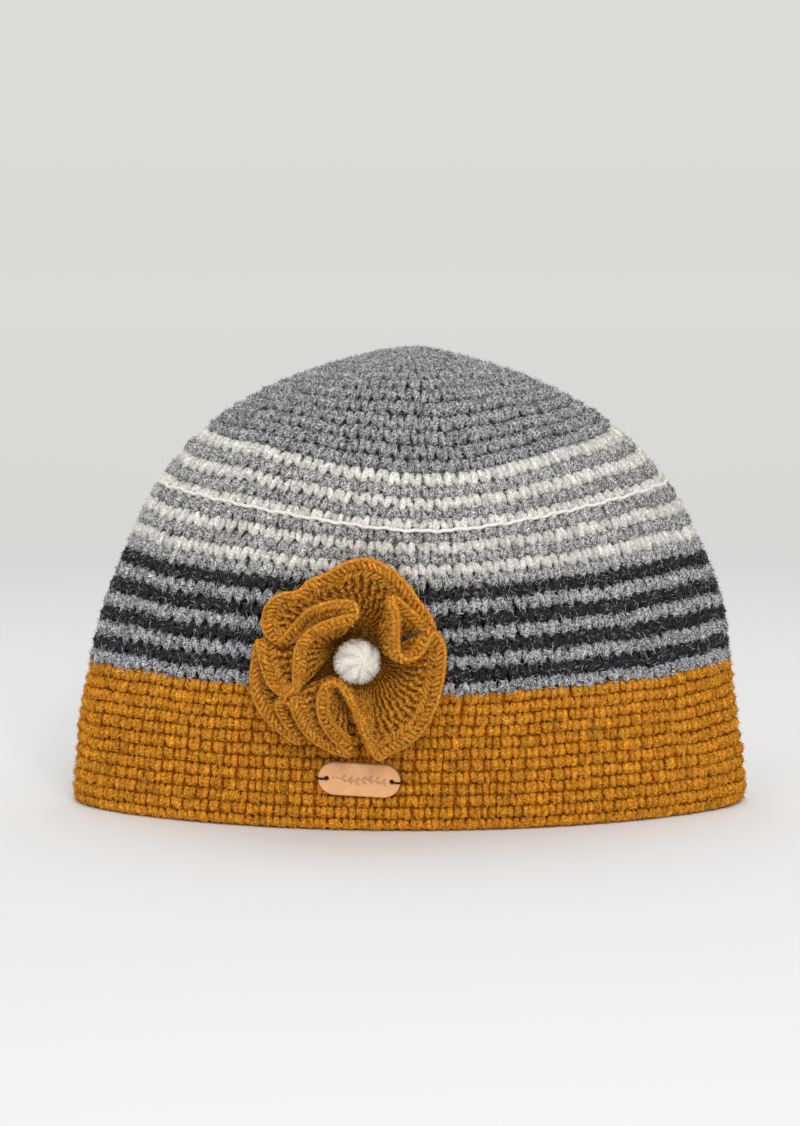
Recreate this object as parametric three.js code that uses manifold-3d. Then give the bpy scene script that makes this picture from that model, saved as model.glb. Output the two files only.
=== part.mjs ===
// A crochet cap with a gathered knitted flower and a small leather tag on its front.
// Millimetres, +Z up, front towards -Y, standing on its flat rim.

import * as THREE from 'three';
import { mergeVertices } from 'three/addons/utils/BufferGeometryUtils.js';
import Module from 'manifold-3d';

// Sizes of the cap
const CAP_WIDTH = 243;
const CAP_DEPTH = 122;
const CAP_HEIGHT = 164.2;
const WALL = 3.6;
const BAND_HEIGHT = 53.5;
const PIECE_GAP = 0.3;

// Sizes of the flower
const FLOWER_RADIUS = 35;
const FLOWER_LIFT = 24;
const FLOWER_OFFSET_X = -18.1;
const FLOWER_ABOVE_BAND = 12.5;
const STRIP_THICKNESS = 2.2;
const HUB_RADIUS = 10.5;
const HUB_THICKNESS = 6;
const ROOT_RADIUS = 8.5;
const PETAL_SAG = 1.5;
const PETAL_BULGE = 9;
const GATHER_SPREAD = 0.09;
const BALL_DIAMETER = 15.4;
const BALL_OFFSET_X = 2;

// Sizes of the tag and its stitches
const TAG_LENGTH = 29;
const TAG_HEIGHT = 12.3;
const TAG_THICKNESS = 1.8;
const TAG_EDGE_ROUND = 0.3;
const TAG_OFFSET_X = -17.6;
const TAG_OFFSET_Z = 19.5;
const TAG_TILT = THREE.MathUtils.degToRad(-2.4);
const HOLE_DIAMETER = 1.4;
const HOLE_INSET = 3.1;
const THREAD_DIAMETER = 0.8;

// Facets
const AROUND = 64;
const CROWN_RINGS = 15;
const FOLD_STEPS = 96;
const RULING_STEPS = 4;
const HUB_SIDES = 24;
const BALL_DETAIL = 4;

// Where the band has its rings of facets, as shares of its rounds, the first two rounding off the rim.
const BAND_LEVELS = [0, 0.04, 0.085, 0.22, 0.44, 0.66, 0.84, 1];
const INNER_LEVELS_START = 2;
// The crown's last ring before its middle, as a share of all the rounds
const LAST_RING = 0.975;

// The cap's outline, from the rim to the crown: how far up the rounds, then the height and half width
// of the side, the height and half depth of the front, and the lean to +X, as shares of the cap's
// height, half width and half depth.
const SECTIONS = [
  { up: 0, sideHeight: 0, halfWidth: 0.984, frontHeight: 0, halfDepth: 0.8, lean: 0 },
  { up: 0.023, sideHeight: 0.027, halfWidth: 1, frontHeight: 0.027, halfDepth: 0.816, lean: 0 },
  { up: 0.09, sideHeight: 0.108, halfWidth: 0.989, frontHeight: 0.104, halfDepth: 0.845, lean: 0 },
  { up: 0.18, sideHeight: 0.217, halfWidth: 0.971, frontHeight: 0.208, halfDepth: 0.885, lean: -0.003 },
  { up: 0.273, sideHeight: 0.326, halfWidth: 0.945, frontHeight: 0.312, halfDepth: 0.93, lean: 0.003 },
  { up: 0.364, sideHeight: 0.449, halfWidth: 0.911, frontHeight: 0.427, halfDepth: 0.972, lean: 0.013 },
  { up: 0.455, sideHeight: 0.572, halfWidth: 0.847, frontHeight: 0.54, halfDepth: 1, lean: 0.013 },
  { up: 0.568, sideHeight: 0.712, halfWidth: 0.748, frontHeight: 0.657, halfDepth: 0.985, lean: 0.009 },
  { up: 0.682, sideHeight: 0.835, halfWidth: 0.595, frontHeight: 0.776, halfDepth: 0.893, lean: 0.003 },
  { up: 0.773, sideHeight: 0.906, halfWidth: 0.447, frontHeight: 0.898, halfDepth: 0.765, lean: 0 },
  { up: 0.818, sideHeight: 0.937, halfWidth: 0.354, frontHeight: 0.95, halfDepth: 0.65, lean: 0 },
  { up: 0.864, sideHeight: 0.958, halfWidth: 0.27, frontHeight: 0.979, halfDepth: 0.495, lean: 0 },
  { up: 0.932, sideHeight: 0.985, halfWidth: 0.138, frontHeight: 0.996, halfDepth: 0.25, lean: 0 },
  { up: 1, sideHeight: 1, halfWidth: 0, frontHeight: 1, halfDepth: 0, lean: 0 },
];

// How the oval is shaped: the share that draws the sides in to soft folds, and the share that gives
// the crown its soft corner at the front and the back.
const SIDE_FOLD_SHARE = 0.4;
const CORNER_SHARE = 0.18;
const CORNER_SOFTNESS = 0.2;
const CORNER_SHIFT = 0.06;
const CORNER_START = 0.25;
const CORNER_END = 0.6;

// The flower's outer edge, fold by fold, clockwise from the upper left: the turn in degrees, the reach
// as a share of the flower's radius and the lift off the cap as a share of the flower's lift.
const FOLDS = [
  { turn: 136, reach: 0.93, lift: 0.46 },
  { turn: 129, reach: 0.85, lift: 0.4 },
  { turn: 120, reach: 0.87, lift: 0.38 },
  { turn: 107, reach: 0.87, lift: 0.34 },
  { turn: 94, reach: 0.94, lift: 0.3 },
  { turn: 81, reach: 0.99, lift: 0.3 },
  { turn: 69, reach: 0.96, lift: 0.3 },
  { turn: 56, reach: 0.91, lift: 0.3 },
  { turn: 42, reach: 0.86, lift: 0.32 },
  { turn: 31, reach: 0.87, lift: 0.38 },
  { turn: 20, reach: 0.85, lift: 0.36 },
  { turn: 57, reach: 0.78, lift: 0.58 },
  { turn: 45, reach: 0.68, lift: 0.72 },
  { turn: 28, reach: 0.54, lift: 0.74 },
  { turn: 11, reach: 0.51, lift: 0.72 },
  { turn: 5, reach: 0.6, lift: 0.68 },
  { turn: 10, reach: 0.72, lift: 0.6 },
  { turn: 20, reach: 0.86, lift: 0.5 },
  { turn: 11, reach: 0.91, lift: 0.46 },
  { turn: -2, reach: 0.9, lift: 0.42 },
  { turn: -16, reach: 0.9, lift: 0.42 },
  { turn: -30, reach: 0.93, lift: 0.42 },
  { turn: -46, reach: 0.98, lift: 0.42 },
  { turn: -58, reach: 1.01, lift: 0.42 },
  { turn: -69, reach: 1.02, lift: 0.4 },
  { turn: -77, reach: 1.04, lift: 0.46 },
  { turn: -80, reach: 0.8, lift: 0.58 },
  { turn: -83, reach: 0.55, lift: 0.72 },
  { turn: -95, reach: 0.36, lift: 0.68 },
  { turn: -123, reach: 0.25, lift: 0.68 },
  { turn: -139, reach: 0.33, lift: 0.68 },
  { turn: -132, reach: 0.48, lift: 0.66 },
  { turn: -121, reach: 0.64, lift: 0.62 },
  { turn: -108, reach: 0.79, lift: 0.58 },
  { turn: -93, reach: 1, lift: 0.42 },
  { turn: -107, reach: 0.97, lift: 0.42 },
  { turn: -121, reach: 0.91, lift: 0.5 },
  { turn: -133, reach: 0.82, lift: 0.58 },
  { turn: -145, reach: 0.76, lift: 0.64 },
  { turn: -149, reach: 0.88, lift: 0.56 },
  { turn: -138, reach: 0.97, lift: 0.42 },
  { turn: -122, reach: 1.07, lift: 0.32 },
  { turn: -141, reach: 1.11, lift: 0.3 },
  { turn: -154, reach: 1.11, lift: 0.3 },
  { turn: -167, reach: 1.06, lift: 0.3 },
  { turn: -188, reach: 0.97, lift: 0.34 },
  { turn: -181, reach: 0.93, lift: 0.46 },
  { turn: -162, reach: 0.87, lift: 0.5 },
  { turn: -152, reach: 0.78, lift: 0.56 },
  { turn: -154, reach: 0.64, lift: 0.66 },
  { turn: -178, reach: 0.55, lift: 0.74 },
  { turn: -201, reach: 0.54, lift: 0.78 },
  { turn: -228, reach: 0.5, lift: 0.8 },
  { turn: -258, reach: 0.48, lift: 0.8 },
  { turn: -278, reach: 0.53, lift: 0.76 },
  { turn: -274, reach: 0.61, lift: 0.7 },
  { turn: -255, reach: 0.62, lift: 0.62 },
  { turn: -229, reach: 0.65, lift: 0.52 },
  { turn: -205, reach: 0.68, lift: 0.44 },
  { turn: -191, reach: 0.77, lift: 0.43 },
  { turn: -195, reach: 0.9, lift: 0.42 },
  { turn: -207, reach: 0.98, lift: 0.42 },
  { turn: -216, reach: 0.98, lift: 0.44 },
];

// Steps for finding a place, a length and a slope on the cap
const SEARCH_STEPS = 40;
const PLACE_PASSES = 4;
const FINE_STEPS = 32;
const SLOPE_STEP = 1e-3;
// Welding the points of one panel, and cleaning a joined solid of specks
const PIECE_WELD = 1e-4;
const JOINT_WELD = 5e-3;
const SPECK_SIZE = 0.05;
const CLEAN_PASSES = 3;

const wasm = await Module();
wasm.setup();

function material(color, roughness) {
  return new THREE.MeshStandardMaterial({ color, roughness, metalness: 0 });
}

function piece(name, geometry, color, roughness) {
  const mesh = new THREE.Mesh(geometry, material(color, roughness));
  mesh.name = name;
  return mesh;
}

function mix(a, b, t) {
  return a + (b - a) * t;
}

function slopeAt(rows, key, across, index) {
  const before = rows[Math.max(index - 1, 0)];
  const after = rows[Math.min(index + 1, rows.length - 1)];
  return (after[key] - before[key]) / (after[across] - before[across]);
}

// A smooth curve through one column of a table, read at a value of another column.
function readColumn(rows, key, across, value) {
  let index = 0;
  while (index < rows.length - 2 && rows[index + 1][across] < value) {
    index += 1;
  }
  const from = rows[index];
  const to = rows[index + 1];
  const span = to[across] - from[across];
  const t = THREE.MathUtils.clamp((value - from[across]) / span, 0, 1);
  const rise = to[key] - from[key];
  const startPull = slopeAt(rows, key, across, index) * span - rise;
  const endPull = rise - slopeAt(rows, key, across, index + 1) * span;
  return from[key] + rise * t + t * (1 - t) * (startPull * (1 - t) + endPull * t);
}

function section(up) {
  return {
    sideHeight: CAP_HEIGHT * readColumn(SECTIONS, 'sideHeight', 'up', up),
    halfWidth: (CAP_WIDTH / 2) * readColumn(SECTIONS, 'halfWidth', 'up', up),
    frontHeight: CAP_HEIGHT * readColumn(SECTIONS, 'frontHeight', 'up', up),
    halfDepth: (CAP_DEPTH / 2) * readColumn(SECTIONS, 'halfDepth', 'up', up),
    lean: (CAP_WIDTH / 2) * readColumn(SECTIONS, 'lean', 'up', up),
  };
}

// 1 at the soft corner of the front or back, falling evenly to 0 at the sides.
function cornerWeight(across) {
  const shifted = across - CORNER_SHIFT * (1 - across * across);
  const soft = Math.hypot(shifted, CORNER_SOFTNESS) - CORNER_SOFTNESS;
  return 1 - soft / (Math.hypot(1, CORNER_SOFTNESS) - CORNER_SOFTNESS);
}

// A point of the cap's outer surface. The turn is 0 at the front and grows towards +X.
function capPoint(turn, up) {
  const { sideHeight, halfWidth, frontHeight, halfDepth, lean } = section(up);
  const across = Math.sin(turn);
  const forward = Math.cos(turn);
  const corner = CORNER_SHARE * THREE.MathUtils.smoothstep(up, CORNER_START, CORNER_END);
  const weight = cornerWeight(across);
  const round = (1 - SIDE_FOLD_SHARE - corner) * forward;
  const folded = Math.sign(forward) * (SIDE_FOLD_SHARE * forward * forward + corner * weight);
  const z = mix(sideHeight, frontHeight, weight);
  return new THREE.Vector3(lean + halfWidth * across, -halfDepth * (round + folded), z);
}

function capNormal(turn, up) {
  const alongTurn = capPoint(turn + SLOPE_STEP, up).sub(capPoint(turn - SLOPE_STEP, up));
  const above = Math.min(up + SLOPE_STEP, 1);
  const alongUp = capPoint(turn, above).sub(capPoint(turn, Math.max(above - 2 * SLOPE_STEP, 0)));
  return alongTurn.cross(alongUp).normalize();
}

function innerPoint(turn, up) {
  return capPoint(turn, up).addScaledVector(capNormal(turn, up), -WALL);
}

function halve(low, high, isLow) {
  for (let step = 0; step < SEARCH_STEPS; step += 1) {
    const middle = (low + high) / 2;
    if (isLow(middle)) {
      low = middle;
    } else {
      high = middle;
    }
  }
  return (low + high) / 2;
}

// How far up the rounds the side reaches a height.
function upAtSideHeight(height) {
  return halve(0, 1, (up) => section(up).sideHeight < height);
}

// The turn and rounds of the front's point at a place across and a height.
function frontPlace(x, z) {
  let turn = 0;
  let up = upAtSideHeight(z);
  for (let pass = 0; pass < PLACE_PASSES; pass += 1) {
    turn = halve(-Math.PI / 2, Math.PI / 2, (value) => capPoint(value, up).x < x);
    up = halve(0, 1, (value) => capPoint(turn, value).z < z);
  }
  return { point: capPoint(turn, up), normal: capNormal(turn, up) };
}

// Turns that cut the oval into even steps.
function evenTurns(count) {
  const up = upAtSideHeight(BAND_HEIGHT);
  const fine = count * FINE_STEPS;
  const lengths = [0];
  for (let i = 1; i <= fine; i += 1) {
    const from = capPoint(((i - 1) / fine) * 2 * Math.PI, up);
    lengths.push(lengths[i - 1] + from.distanceTo(capPoint((i / fine) * 2 * Math.PI, up)));
  }
  const turns = [];
  let index = 0;
  for (let i = 0; i < count; i += 1) {
    const target = (i / count) * lengths[fine];
    while (lengths[index + 1] < target) {
      index += 1;
    }
    const part = (target - lengths[index]) / (lengths[index + 1] - lengths[index]);
    turns.push(((index + part) / fine) * 2 * Math.PI);
  }
  return turns;
}

function geometryOf(points, faces) {
  const geometry = new THREE.BufferGeometry();
  geometry.setAttribute('position', new THREE.Float32BufferAttribute(points.flatMap((p) => p.toArray()), 3));
  geometry.setIndex(faces);
  return geometry;
}

// A closed skin over rings of points, each ring anticlockwise seen from above and higher than the one
// before on the outside. The rings join the last one back to the first, or end in two poles.
function skin(rings, poles) {
  const count = rings[0].length;
  const points = rings.flat();
  const faces = [];
  const spans = poles ? rings.length - 1 : rings.length;
  for (let r = 0; r < spans; r += 1) {
    const low = r * count;
    const high = ((r + 1) % rings.length) * count;
    for (let i = 0; i < count; i += 1) {
      const next = (i + 1) % count;
      faces.push(low + i, low + next, high + next);
      faces.push(low + i, high + next, high + i);
    }
  }
  if (poles) {
    const first = points.push(poles[0]) - 1;
    const last = points.push(poles[1]) - 1;
    const top = (rings.length - 1) * count;
    for (let i = 0; i < count; i += 1) {
      const next = (i + 1) % count;
      faces.push(first, next, i);
      faces.push(last, top + i, top + next);
    }
  }
  return geometryOf(points, faces);
}

function ring(turns, up, place) {
  return turns.map((turn) => place(turn, up));
}

// The share of the rounds that half the gap between crown and band takes.
function halfGapUp() {
  const join = upAtSideHeight(BAND_HEIGHT);
  return upAtSideHeight(BAND_HEIGHT + PIECE_GAP / 2) - join;
}

function makeBand(turns) {
  const top = upAtSideHeight(BAND_HEIGHT) - halfGapUp();
  const ups = BAND_LEVELS.map((level) => level * top);
  const outer = ups.map((up) => ring(turns, up, capPoint));
  const inner = ups.slice(INNER_LEVELS_START).reverse().map((up) => ring(turns, up, innerPoint));
  const foot = ring(turns, 0, innerPoint).map((point) => new THREE.Vector3(point.x, point.y, 0));
  return skin([...outer, ...inner, foot], null);
}

function makeCrown(turns) {
  const bottom = upAtSideHeight(BAND_HEIGHT) + halfGapUp();
  const ups = [];
  for (let i = 0; i < CROWN_RINGS; i += 1) {
    ups.push(mix(bottom, LAST_RING, i / (CROWN_RINGS - 1)));
  }
  const outer = ups.map((up) => ring(turns, up, capPoint));
  const inner = ups.slice().reverse().map((up) => ring(turns, up, innerPoint));
  const innerTop = new THREE.Vector3(0, 0, CAP_HEIGHT - WALL);
  return skin([...inner, ...outer], [innerTop, new THREE.Vector3(0, 0, CAP_HEIGHT)]);
}

// Frame on the cap's front: X to the right, Y up the surface and Z straight out of it.
function frontFrame(x, z) {
  const { point, normal } = frontPlace(x, z);
  const right = new THREE.Vector3(0, 0, 1).cross(normal).normalize();
  const upwards = normal.clone().cross(right);
  const frame = new THREE.Group();
  frame.setRotationFromMatrix(new THREE.Matrix4().makeBasis(right, upwards, normal));
  frame.position.copy(point);
  return frame;
}

// Points closer than the weld become one.
function solidOf(geometry, weld) {
  const bare = geometry.clone();
  bare.deleteAttribute('normal');
  bare.deleteAttribute('uv');
  const merged = mergeVertices(bare, weld);
  const vertProperties = new Float32Array(merged.attributes.position.array);
  const triVerts = new Uint32Array(merged.index.array);
  return new wasm.Manifold(new wasm.Mesh({ numProp: 3, vertProperties, triVerts }));
}

function geometryFrom(solid) {
  const mesh = solid.getMesh();
  const geometry = new THREE.BufferGeometry();
  geometry.setAttribute('position', new THREE.BufferAttribute(new Float32Array(mesh.vertProperties), 3));
  geometry.setIndex(new THREE.BufferAttribute(new Uint32Array(mesh.triVerts), 1));
  return geometry;
}

// The main body of a joined solid, without the specks that are left where panels meet.
function mainBody(joined) {
  let body = joined;
  for (let pass = 0; pass < CLEAN_PASSES; pass += 1) {
    const shells = body.simplify(SPECK_SIZE).decompose();
    const largest = shells.reduce((best, shell) => (shell.volume() > best.volume() ? shell : best));
    body = solidOf(geometryFrom(largest), JOINT_WELD);
  }
  return body;
}

function foldPoint({ turn, reach, lift }) {
  const angle = THREE.MathUtils.degToRad(turn);
  const radius = reach * FLOWER_RADIUS;
  return new THREE.Vector3(radius * Math.cos(angle), radius * Math.sin(angle), lift * FLOWER_LIFT);
}

// The direction in which each step of the edge is gathered: that of the mean of the edge around it,
// as far to each side as the gather's spread, a share of the whole edge.
function gatherAngles(edge) {
  const reach = Math.round(edge.length * GATHER_SPREAD);
  return edge.map((_, i) => {
    const mean = new THREE.Vector3();
    for (let k = -reach; k <= reach; k += 1) {
      mean.add(edge[(i + k + edge.length) % edge.length]);
    }
    return Math.atan2(mean.y, mean.x);
  });
}

// One ruling of the gathered strip, from its root in the hub to its outer edge. A low petal sags
// between them, and a high one bulges.
function rulingPoint(angle, edgePoint, t) {
  const root = new THREE.Vector3(Math.cos(angle), Math.sin(angle), 0).multiplyScalar(ROOT_RADIUS);
  const point = root.setZ(HUB_THICKNESS / 2).lerp(edgePoint, t);
  const lift = edgePoint.z / FLOWER_LIFT;
  point.z += (PETAL_BULGE * lift ** 2 - PETAL_SAG) * Math.sin(Math.PI * t);
  return point;
}

function stripRulings() {
  const curve = new THREE.CatmullRomCurve3(FOLDS.map(foldPoint), true, 'centripetal');
  const edge = curve.getSpacedPoints(FOLD_STEPS).slice(0, FOLD_STEPS);
  const angles = gatherAngles(edge);
  return edge.map((edgePoint, i) => {
    const ruling = [];
    for (let k = 0; k <= RULING_STEPS; k += 1) {
      ruling.push(rulingPoint(angles[i], edgePoint, k / RULING_STEPS));
    }
    return ruling;
  });
}

// The two faces of the strip, half its thickness to each side of the rulings.
function stripFaces(rulings) {
  const count = rulings.length;
  return rulings.map((ruling, i) => {
    const before = rulings[(i + count - 1) % count];
    const after = rulings[(i + 1) % count];
    return ruling.map((point, k) => {
      const along = after[k].clone().sub(before[k]);
      const outwards = ruling[Math.min(k + 1, RULING_STEPS)].clone().sub(ruling[Math.max(k - 1, 0)]);
      const normal = along.cross(outwards).normalize();
      return {
        front: point.clone().addScaledVector(normal, STRIP_THICKNESS / 2),
        back: point.clone().addScaledVector(normal, -STRIP_THICKNESS / 2),
      };
    });
  });
}

// One closed panel of the strip between two neighbouring rulings.
function stripPanel(left, right) {
  const loop = (faces) => [...faces.map((f) => f.front), ...faces.map((f) => f.back).reverse()];
  const near = loop(left);
  const far = loop(right);
  const size = near.length;
  const faces = [];
  for (let i = 0; i < size; i += 1) {
    const next = (i + 1) % size;
    faces.push(i, size + next, next);
    faces.push(i, size + i, size + next);
  }
  for (let k = 0; k < RULING_STEPS; k += 1) {
    const other = size - 1 - k;
    faces.push(k, other - 1, other);
    faces.push(k, k + 1, other - 1);
    faces.push(size + k, size + other, size + other - 1);
    faces.push(size + k, size + other - 1, size + k + 1);
  }
  return geometryOf([...near, ...far], faces);
}

// The gathered middle, a low round cushion.
const HUB_PROFILE = [
  { radius: 0, height: 0 },
  { radius: 0.9, height: 0 },
  { radius: 1, height: 0.4 },
  { radius: 0.85, height: 0.85 },
  { radius: 0, height: 1 },
];

function makeHub() {
  const profile = HUB_PROFILE.map(({ radius, height }) => (
    new THREE.Vector2(HUB_RADIUS * radius, mix(PIECE_GAP, HUB_THICKNESS, height))
  ));
  return new THREE.LatheGeometry(profile, HUB_SIDES).rotateX(Math.PI / 2);
}

function makeRuffle() {
  const faces = stripFaces(stripRulings());
  const panels = faces.map((left, i) => (
    solidOf(stripPanel(left, faces[(i + 1) % faces.length]), PIECE_WELD)
  ));
  const joined = wasm.Manifold.union([solidOf(makeHub(), PIECE_WELD), ...panels]);
  return geometryFrom(mainBody(joined));
}

function makeBall() {
  const radius = BALL_DIAMETER / 2;
  const ball = new THREE.IcosahedronGeometry(radius, BALL_DETAIL);
  return ball.translate(BALL_OFFSET_X, 0, HUB_THICKNESS + PIECE_GAP + radius);
}

function makeTag() {
  const outline = new THREE.Shape();
  const flat = (TAG_LENGTH - TAG_HEIGHT) / 2;
  const radius = TAG_HEIGHT / 2 - TAG_EDGE_ROUND;
  outline.absarc(flat, 0, radius, -Math.PI / 2, Math.PI / 2, false);
  outline.absarc(-flat, 0, radius, Math.PI / 2, -Math.PI / 2, false);
  for (const side of [-1, 1]) {
    const hole = new THREE.Path();
    const holeX = side * (TAG_LENGTH / 2 - HOLE_INSET);
    hole.absarc(holeX, 0, HOLE_DIAMETER / 2 + TAG_EDGE_ROUND, 0, 2 * Math.PI, true);
    outline.holes.push(hole);
  }
  const tag = new THREE.ExtrudeGeometry(outline, {
    depth: TAG_THICKNESS - 2 * TAG_EDGE_ROUND,
    bevelThickness: TAG_EDGE_ROUND,
    bevelSize: TAG_EDGE_ROUND,
    bevelSegments: 1,
    curveSegments: 12,
  });
  return tag.translate(0, 0, PIECE_GAP + TAG_EDGE_ROUND);
}

// A stitch comes up through a hole, runs over the tag's end and goes down into the band.
function makeThread(side) {
  const radius = THREAD_DIAMETER / 2;
  const holeX = TAG_LENGTH / 2 - HOLE_INSET;
  const over = PIECE_GAP + TAG_THICKNESS + PIECE_GAP + radius;
  const outside = TAG_LENGTH / 2 + PIECE_GAP + radius;
  const route = [
    new THREE.Vector3(side * holeX, 0, PIECE_GAP),
    new THREE.Vector3(side * holeX, 0, over - radius),
    new THREE.Vector3(side * (holeX + radius), 0, over),
    new THREE.Vector3(side * (outside - radius), 0, over),
    new THREE.Vector3(side * outside, 0, over - radius),
    new THREE.Vector3(side * outside, 0, PIECE_GAP),
  ];
  const path = new THREE.CurvePath();
  for (let i = 1; i < route.length; i += 1) {
    path.add(new THREE.LineCurve3(route[i - 1], route[i]));
  }
  const circle = new THREE.Shape().absarc(0, 0, radius, 0, 2 * Math.PI, false);
  return new THREE.ExtrudeGeometry(circle, { extrudePath: path, steps: 24, curveSegments: 4 });
}

const cap = new THREE.Group();
const turns = evenTurns(AROUND);
cap.add(piece('crown', makeCrown(turns), 0x8c8d90, 0.95));
cap.add(piece('band', makeBand(turns), 0xb87a1e, 0.95));

const flower = frontFrame(FLOWER_OFFSET_X, BAND_HEIGHT + FLOWER_ABOVE_BAND);
flower.add(piece('flower_ruffle', makeRuffle(), 0xb8791c, 0.95));
flower.add(piece('flower_centre', makeBall(), 0xebe4d7, 1));
cap.add(flower);

const tag = frontFrame(TAG_OFFSET_X, TAG_OFFSET_Z);
tag.rotateZ(TAG_TILT);
tag.add(piece('leather_tag', makeTag(), 0xc6966e, 0.6));
tag.add(piece('tag_thread_left', makeThread(-1), 0x241c18, 0.8));
tag.add(piece('tag_thread_right', makeThread(1), 0x241c18, 0.8));
cap.add(tag);

// The origin is at the middle of the whole outline, on the surface that the rim rests on.
cap.updateMatrixWorld(true);
const middle = new THREE.Box3().setFromObject(cap, true).getCenter(new THREE.Vector3());
cap.position.set(-middle.x, -middle.y, 0);

const part = new THREE.Group();
part.add(cap);

export default part;
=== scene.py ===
"""The looks of a crochet cap: stitches, yarn, knitted flower, leather tag, floor, light and camera.

Lengths in the shapes are in millimetres, and the meshes are made in metres.
The cap's front faces -Y. Rounds are counted from the rim, 0, to the middle of the crown, 44.
"""

import math

import bpy
import numpy as np
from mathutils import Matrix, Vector


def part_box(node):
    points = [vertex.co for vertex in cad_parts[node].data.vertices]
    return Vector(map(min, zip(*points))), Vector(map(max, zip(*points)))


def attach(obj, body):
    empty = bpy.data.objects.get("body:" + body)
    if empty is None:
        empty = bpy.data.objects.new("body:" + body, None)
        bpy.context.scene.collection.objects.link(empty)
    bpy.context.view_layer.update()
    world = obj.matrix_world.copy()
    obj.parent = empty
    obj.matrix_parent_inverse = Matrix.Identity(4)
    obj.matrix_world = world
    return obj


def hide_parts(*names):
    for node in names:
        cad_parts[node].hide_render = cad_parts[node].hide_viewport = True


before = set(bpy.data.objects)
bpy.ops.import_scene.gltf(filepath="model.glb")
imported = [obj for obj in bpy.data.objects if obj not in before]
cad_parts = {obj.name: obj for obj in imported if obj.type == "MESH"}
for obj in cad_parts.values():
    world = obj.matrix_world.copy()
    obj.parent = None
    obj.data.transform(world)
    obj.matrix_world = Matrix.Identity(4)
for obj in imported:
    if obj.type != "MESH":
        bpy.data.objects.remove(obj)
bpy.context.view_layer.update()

MM = 0.001
FULL_TURN = 2 * math.pi
RNG = np.random.default_rng(12)

# The cap
CAP_WIDTH = 243.0
CAP_DEPTH = 122.0
CAP_HEIGHT = 164.2
WALL = 3.6
BAND_HEIGHT = 53.5
BAND_ROUNDS = 12
CHARCOAL_END = 20
STRIPE_END = 30
ROUNDS = 44
STITCHES = 112
STITCH_PITCH = 4.85

# How far up the rounds, then the height and half width of the side, the height and half depth of the
# front, and the lean to +X, as shares of the cap's height, half width and half depth.
SECTIONS = np.array([
    [0, 0, 0.984, 0, 0.8, 0],
    [0.023, 0.027, 1, 0.027, 0.816, 0],
    [0.09, 0.108, 0.989, 0.104, 0.845, 0],
    [0.18, 0.217, 0.971, 0.208, 0.885, -0.003],
    [0.273, 0.326, 0.945, 0.312, 0.93, 0.003],
    [0.364, 0.449, 0.911, 0.427, 0.972, 0.013],
    [0.455, 0.572, 0.847, 0.54, 1, 0.013],
    [0.568, 0.712, 0.748, 0.657, 0.985, 0.009],
    [0.682, 0.835, 0.595, 0.776, 0.893, 0.003],
    [0.773, 0.906, 0.447, 0.898, 0.765, 0],
    [0.818, 0.937, 0.354, 0.95, 0.65, 0],
    [0.864, 0.958, 0.27, 0.979, 0.495, 0],
    [0.932, 0.985, 0.138, 0.996, 0.25, 0],
    [1, 1, 0, 1, 0, 0],
])
UP, SIDE_HEIGHT, HALF_WIDTH, FRONT_HEIGHT, HALF_DEPTH, LEAN = range(6)
SIDE_FOLD_SHARE = 0.4
CORNER_SHARE = 0.18
CORNER_SOFTNESS = 0.2
CORNER_SHIFT = 0.06
CORNER_START = 0.25
CORNER_END = 0.6

# The flower
FLOWER_RADIUS = 35.0
FLOWER_LIFT = 24.0
FLOWER_OFFSET_X = -18.1
FLOWER_ABOVE_BAND = 12.5
STRIP_WIDTH = 28.0
STRIP_THICKNESS = 2.2
HUB_THICKNESS = 6.0
ROOT_RADIUS = 8.5
PETAL_SAG = 1.5
PETAL_BULGE = 9.0
GATHER_SPREAD = 0.09
RIBS = 116
BALL_DIAMETER = 15.4
BALL_OFFSET_X = 2.0
PIECE_GAP = 0.3

# Turn in degrees, reach as a share of the flower's radius, lift as a share of its lift.
FOLDS = np.array([
    [136, 0.93, 0.46], [129, 0.85, 0.4], [120, 0.87, 0.38], [107, 0.87, 0.34], [94, 0.94, 0.3],
    [81, 0.99, 0.3], [69, 0.96, 0.3], [56, 0.91, 0.3], [42, 0.86, 0.32], [31, 0.87, 0.38],
    [20, 0.85, 0.36], [57, 0.78, 0.58], [45, 0.68, 0.72], [28, 0.54, 0.74], [11, 0.51, 0.72],
    [5, 0.6, 0.68], [10, 0.72, 0.6], [20, 0.86, 0.5], [11, 0.91, 0.46], [-2, 0.9, 0.42],
    [-16, 0.9, 0.42], [-30, 0.93, 0.42], [-46, 0.98, 0.42], [-58, 1.01, 0.42], [-69, 1.02, 0.4],
    [-77, 1.04, 0.46], [-80, 0.8, 0.58], [-83, 0.55, 0.72], [-95, 0.36, 0.68], [-123, 0.25, 0.68],
    [-139, 0.33, 0.68], [-132, 0.48, 0.66], [-121, 0.64, 0.62], [-108, 0.79, 0.58], [-93, 1, 0.42],
    [-107, 0.97, 0.42], [-121, 0.91, 0.5], [-133, 0.82, 0.58], [-145, 0.76, 0.64], [-149, 0.88, 0.56],
    [-138, 0.97, 0.42], [-122, 1.07, 0.32], [-141, 1.11, 0.3], [-154, 1.11, 0.3], [-167, 1.06, 0.3],
    [-188, 0.97, 0.34], [-181, 0.93, 0.46], [-162, 0.87, 0.5], [-152, 0.78, 0.56], [-154, 0.64, 0.66],
    [-178, 0.55, 0.74], [-201, 0.54, 0.78], [-228, 0.5, 0.8], [-258, 0.48, 0.8], [-278, 0.53, 0.76],
    [-274, 0.61, 0.7], [-255, 0.62, 0.62], [-229, 0.65, 0.52], [-205, 0.68, 0.44], [-191, 0.77, 0.43],
    [-195, 0.9, 0.42], [-207, 0.98, 0.42], [-216, 0.98, 0.44],
])

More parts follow.
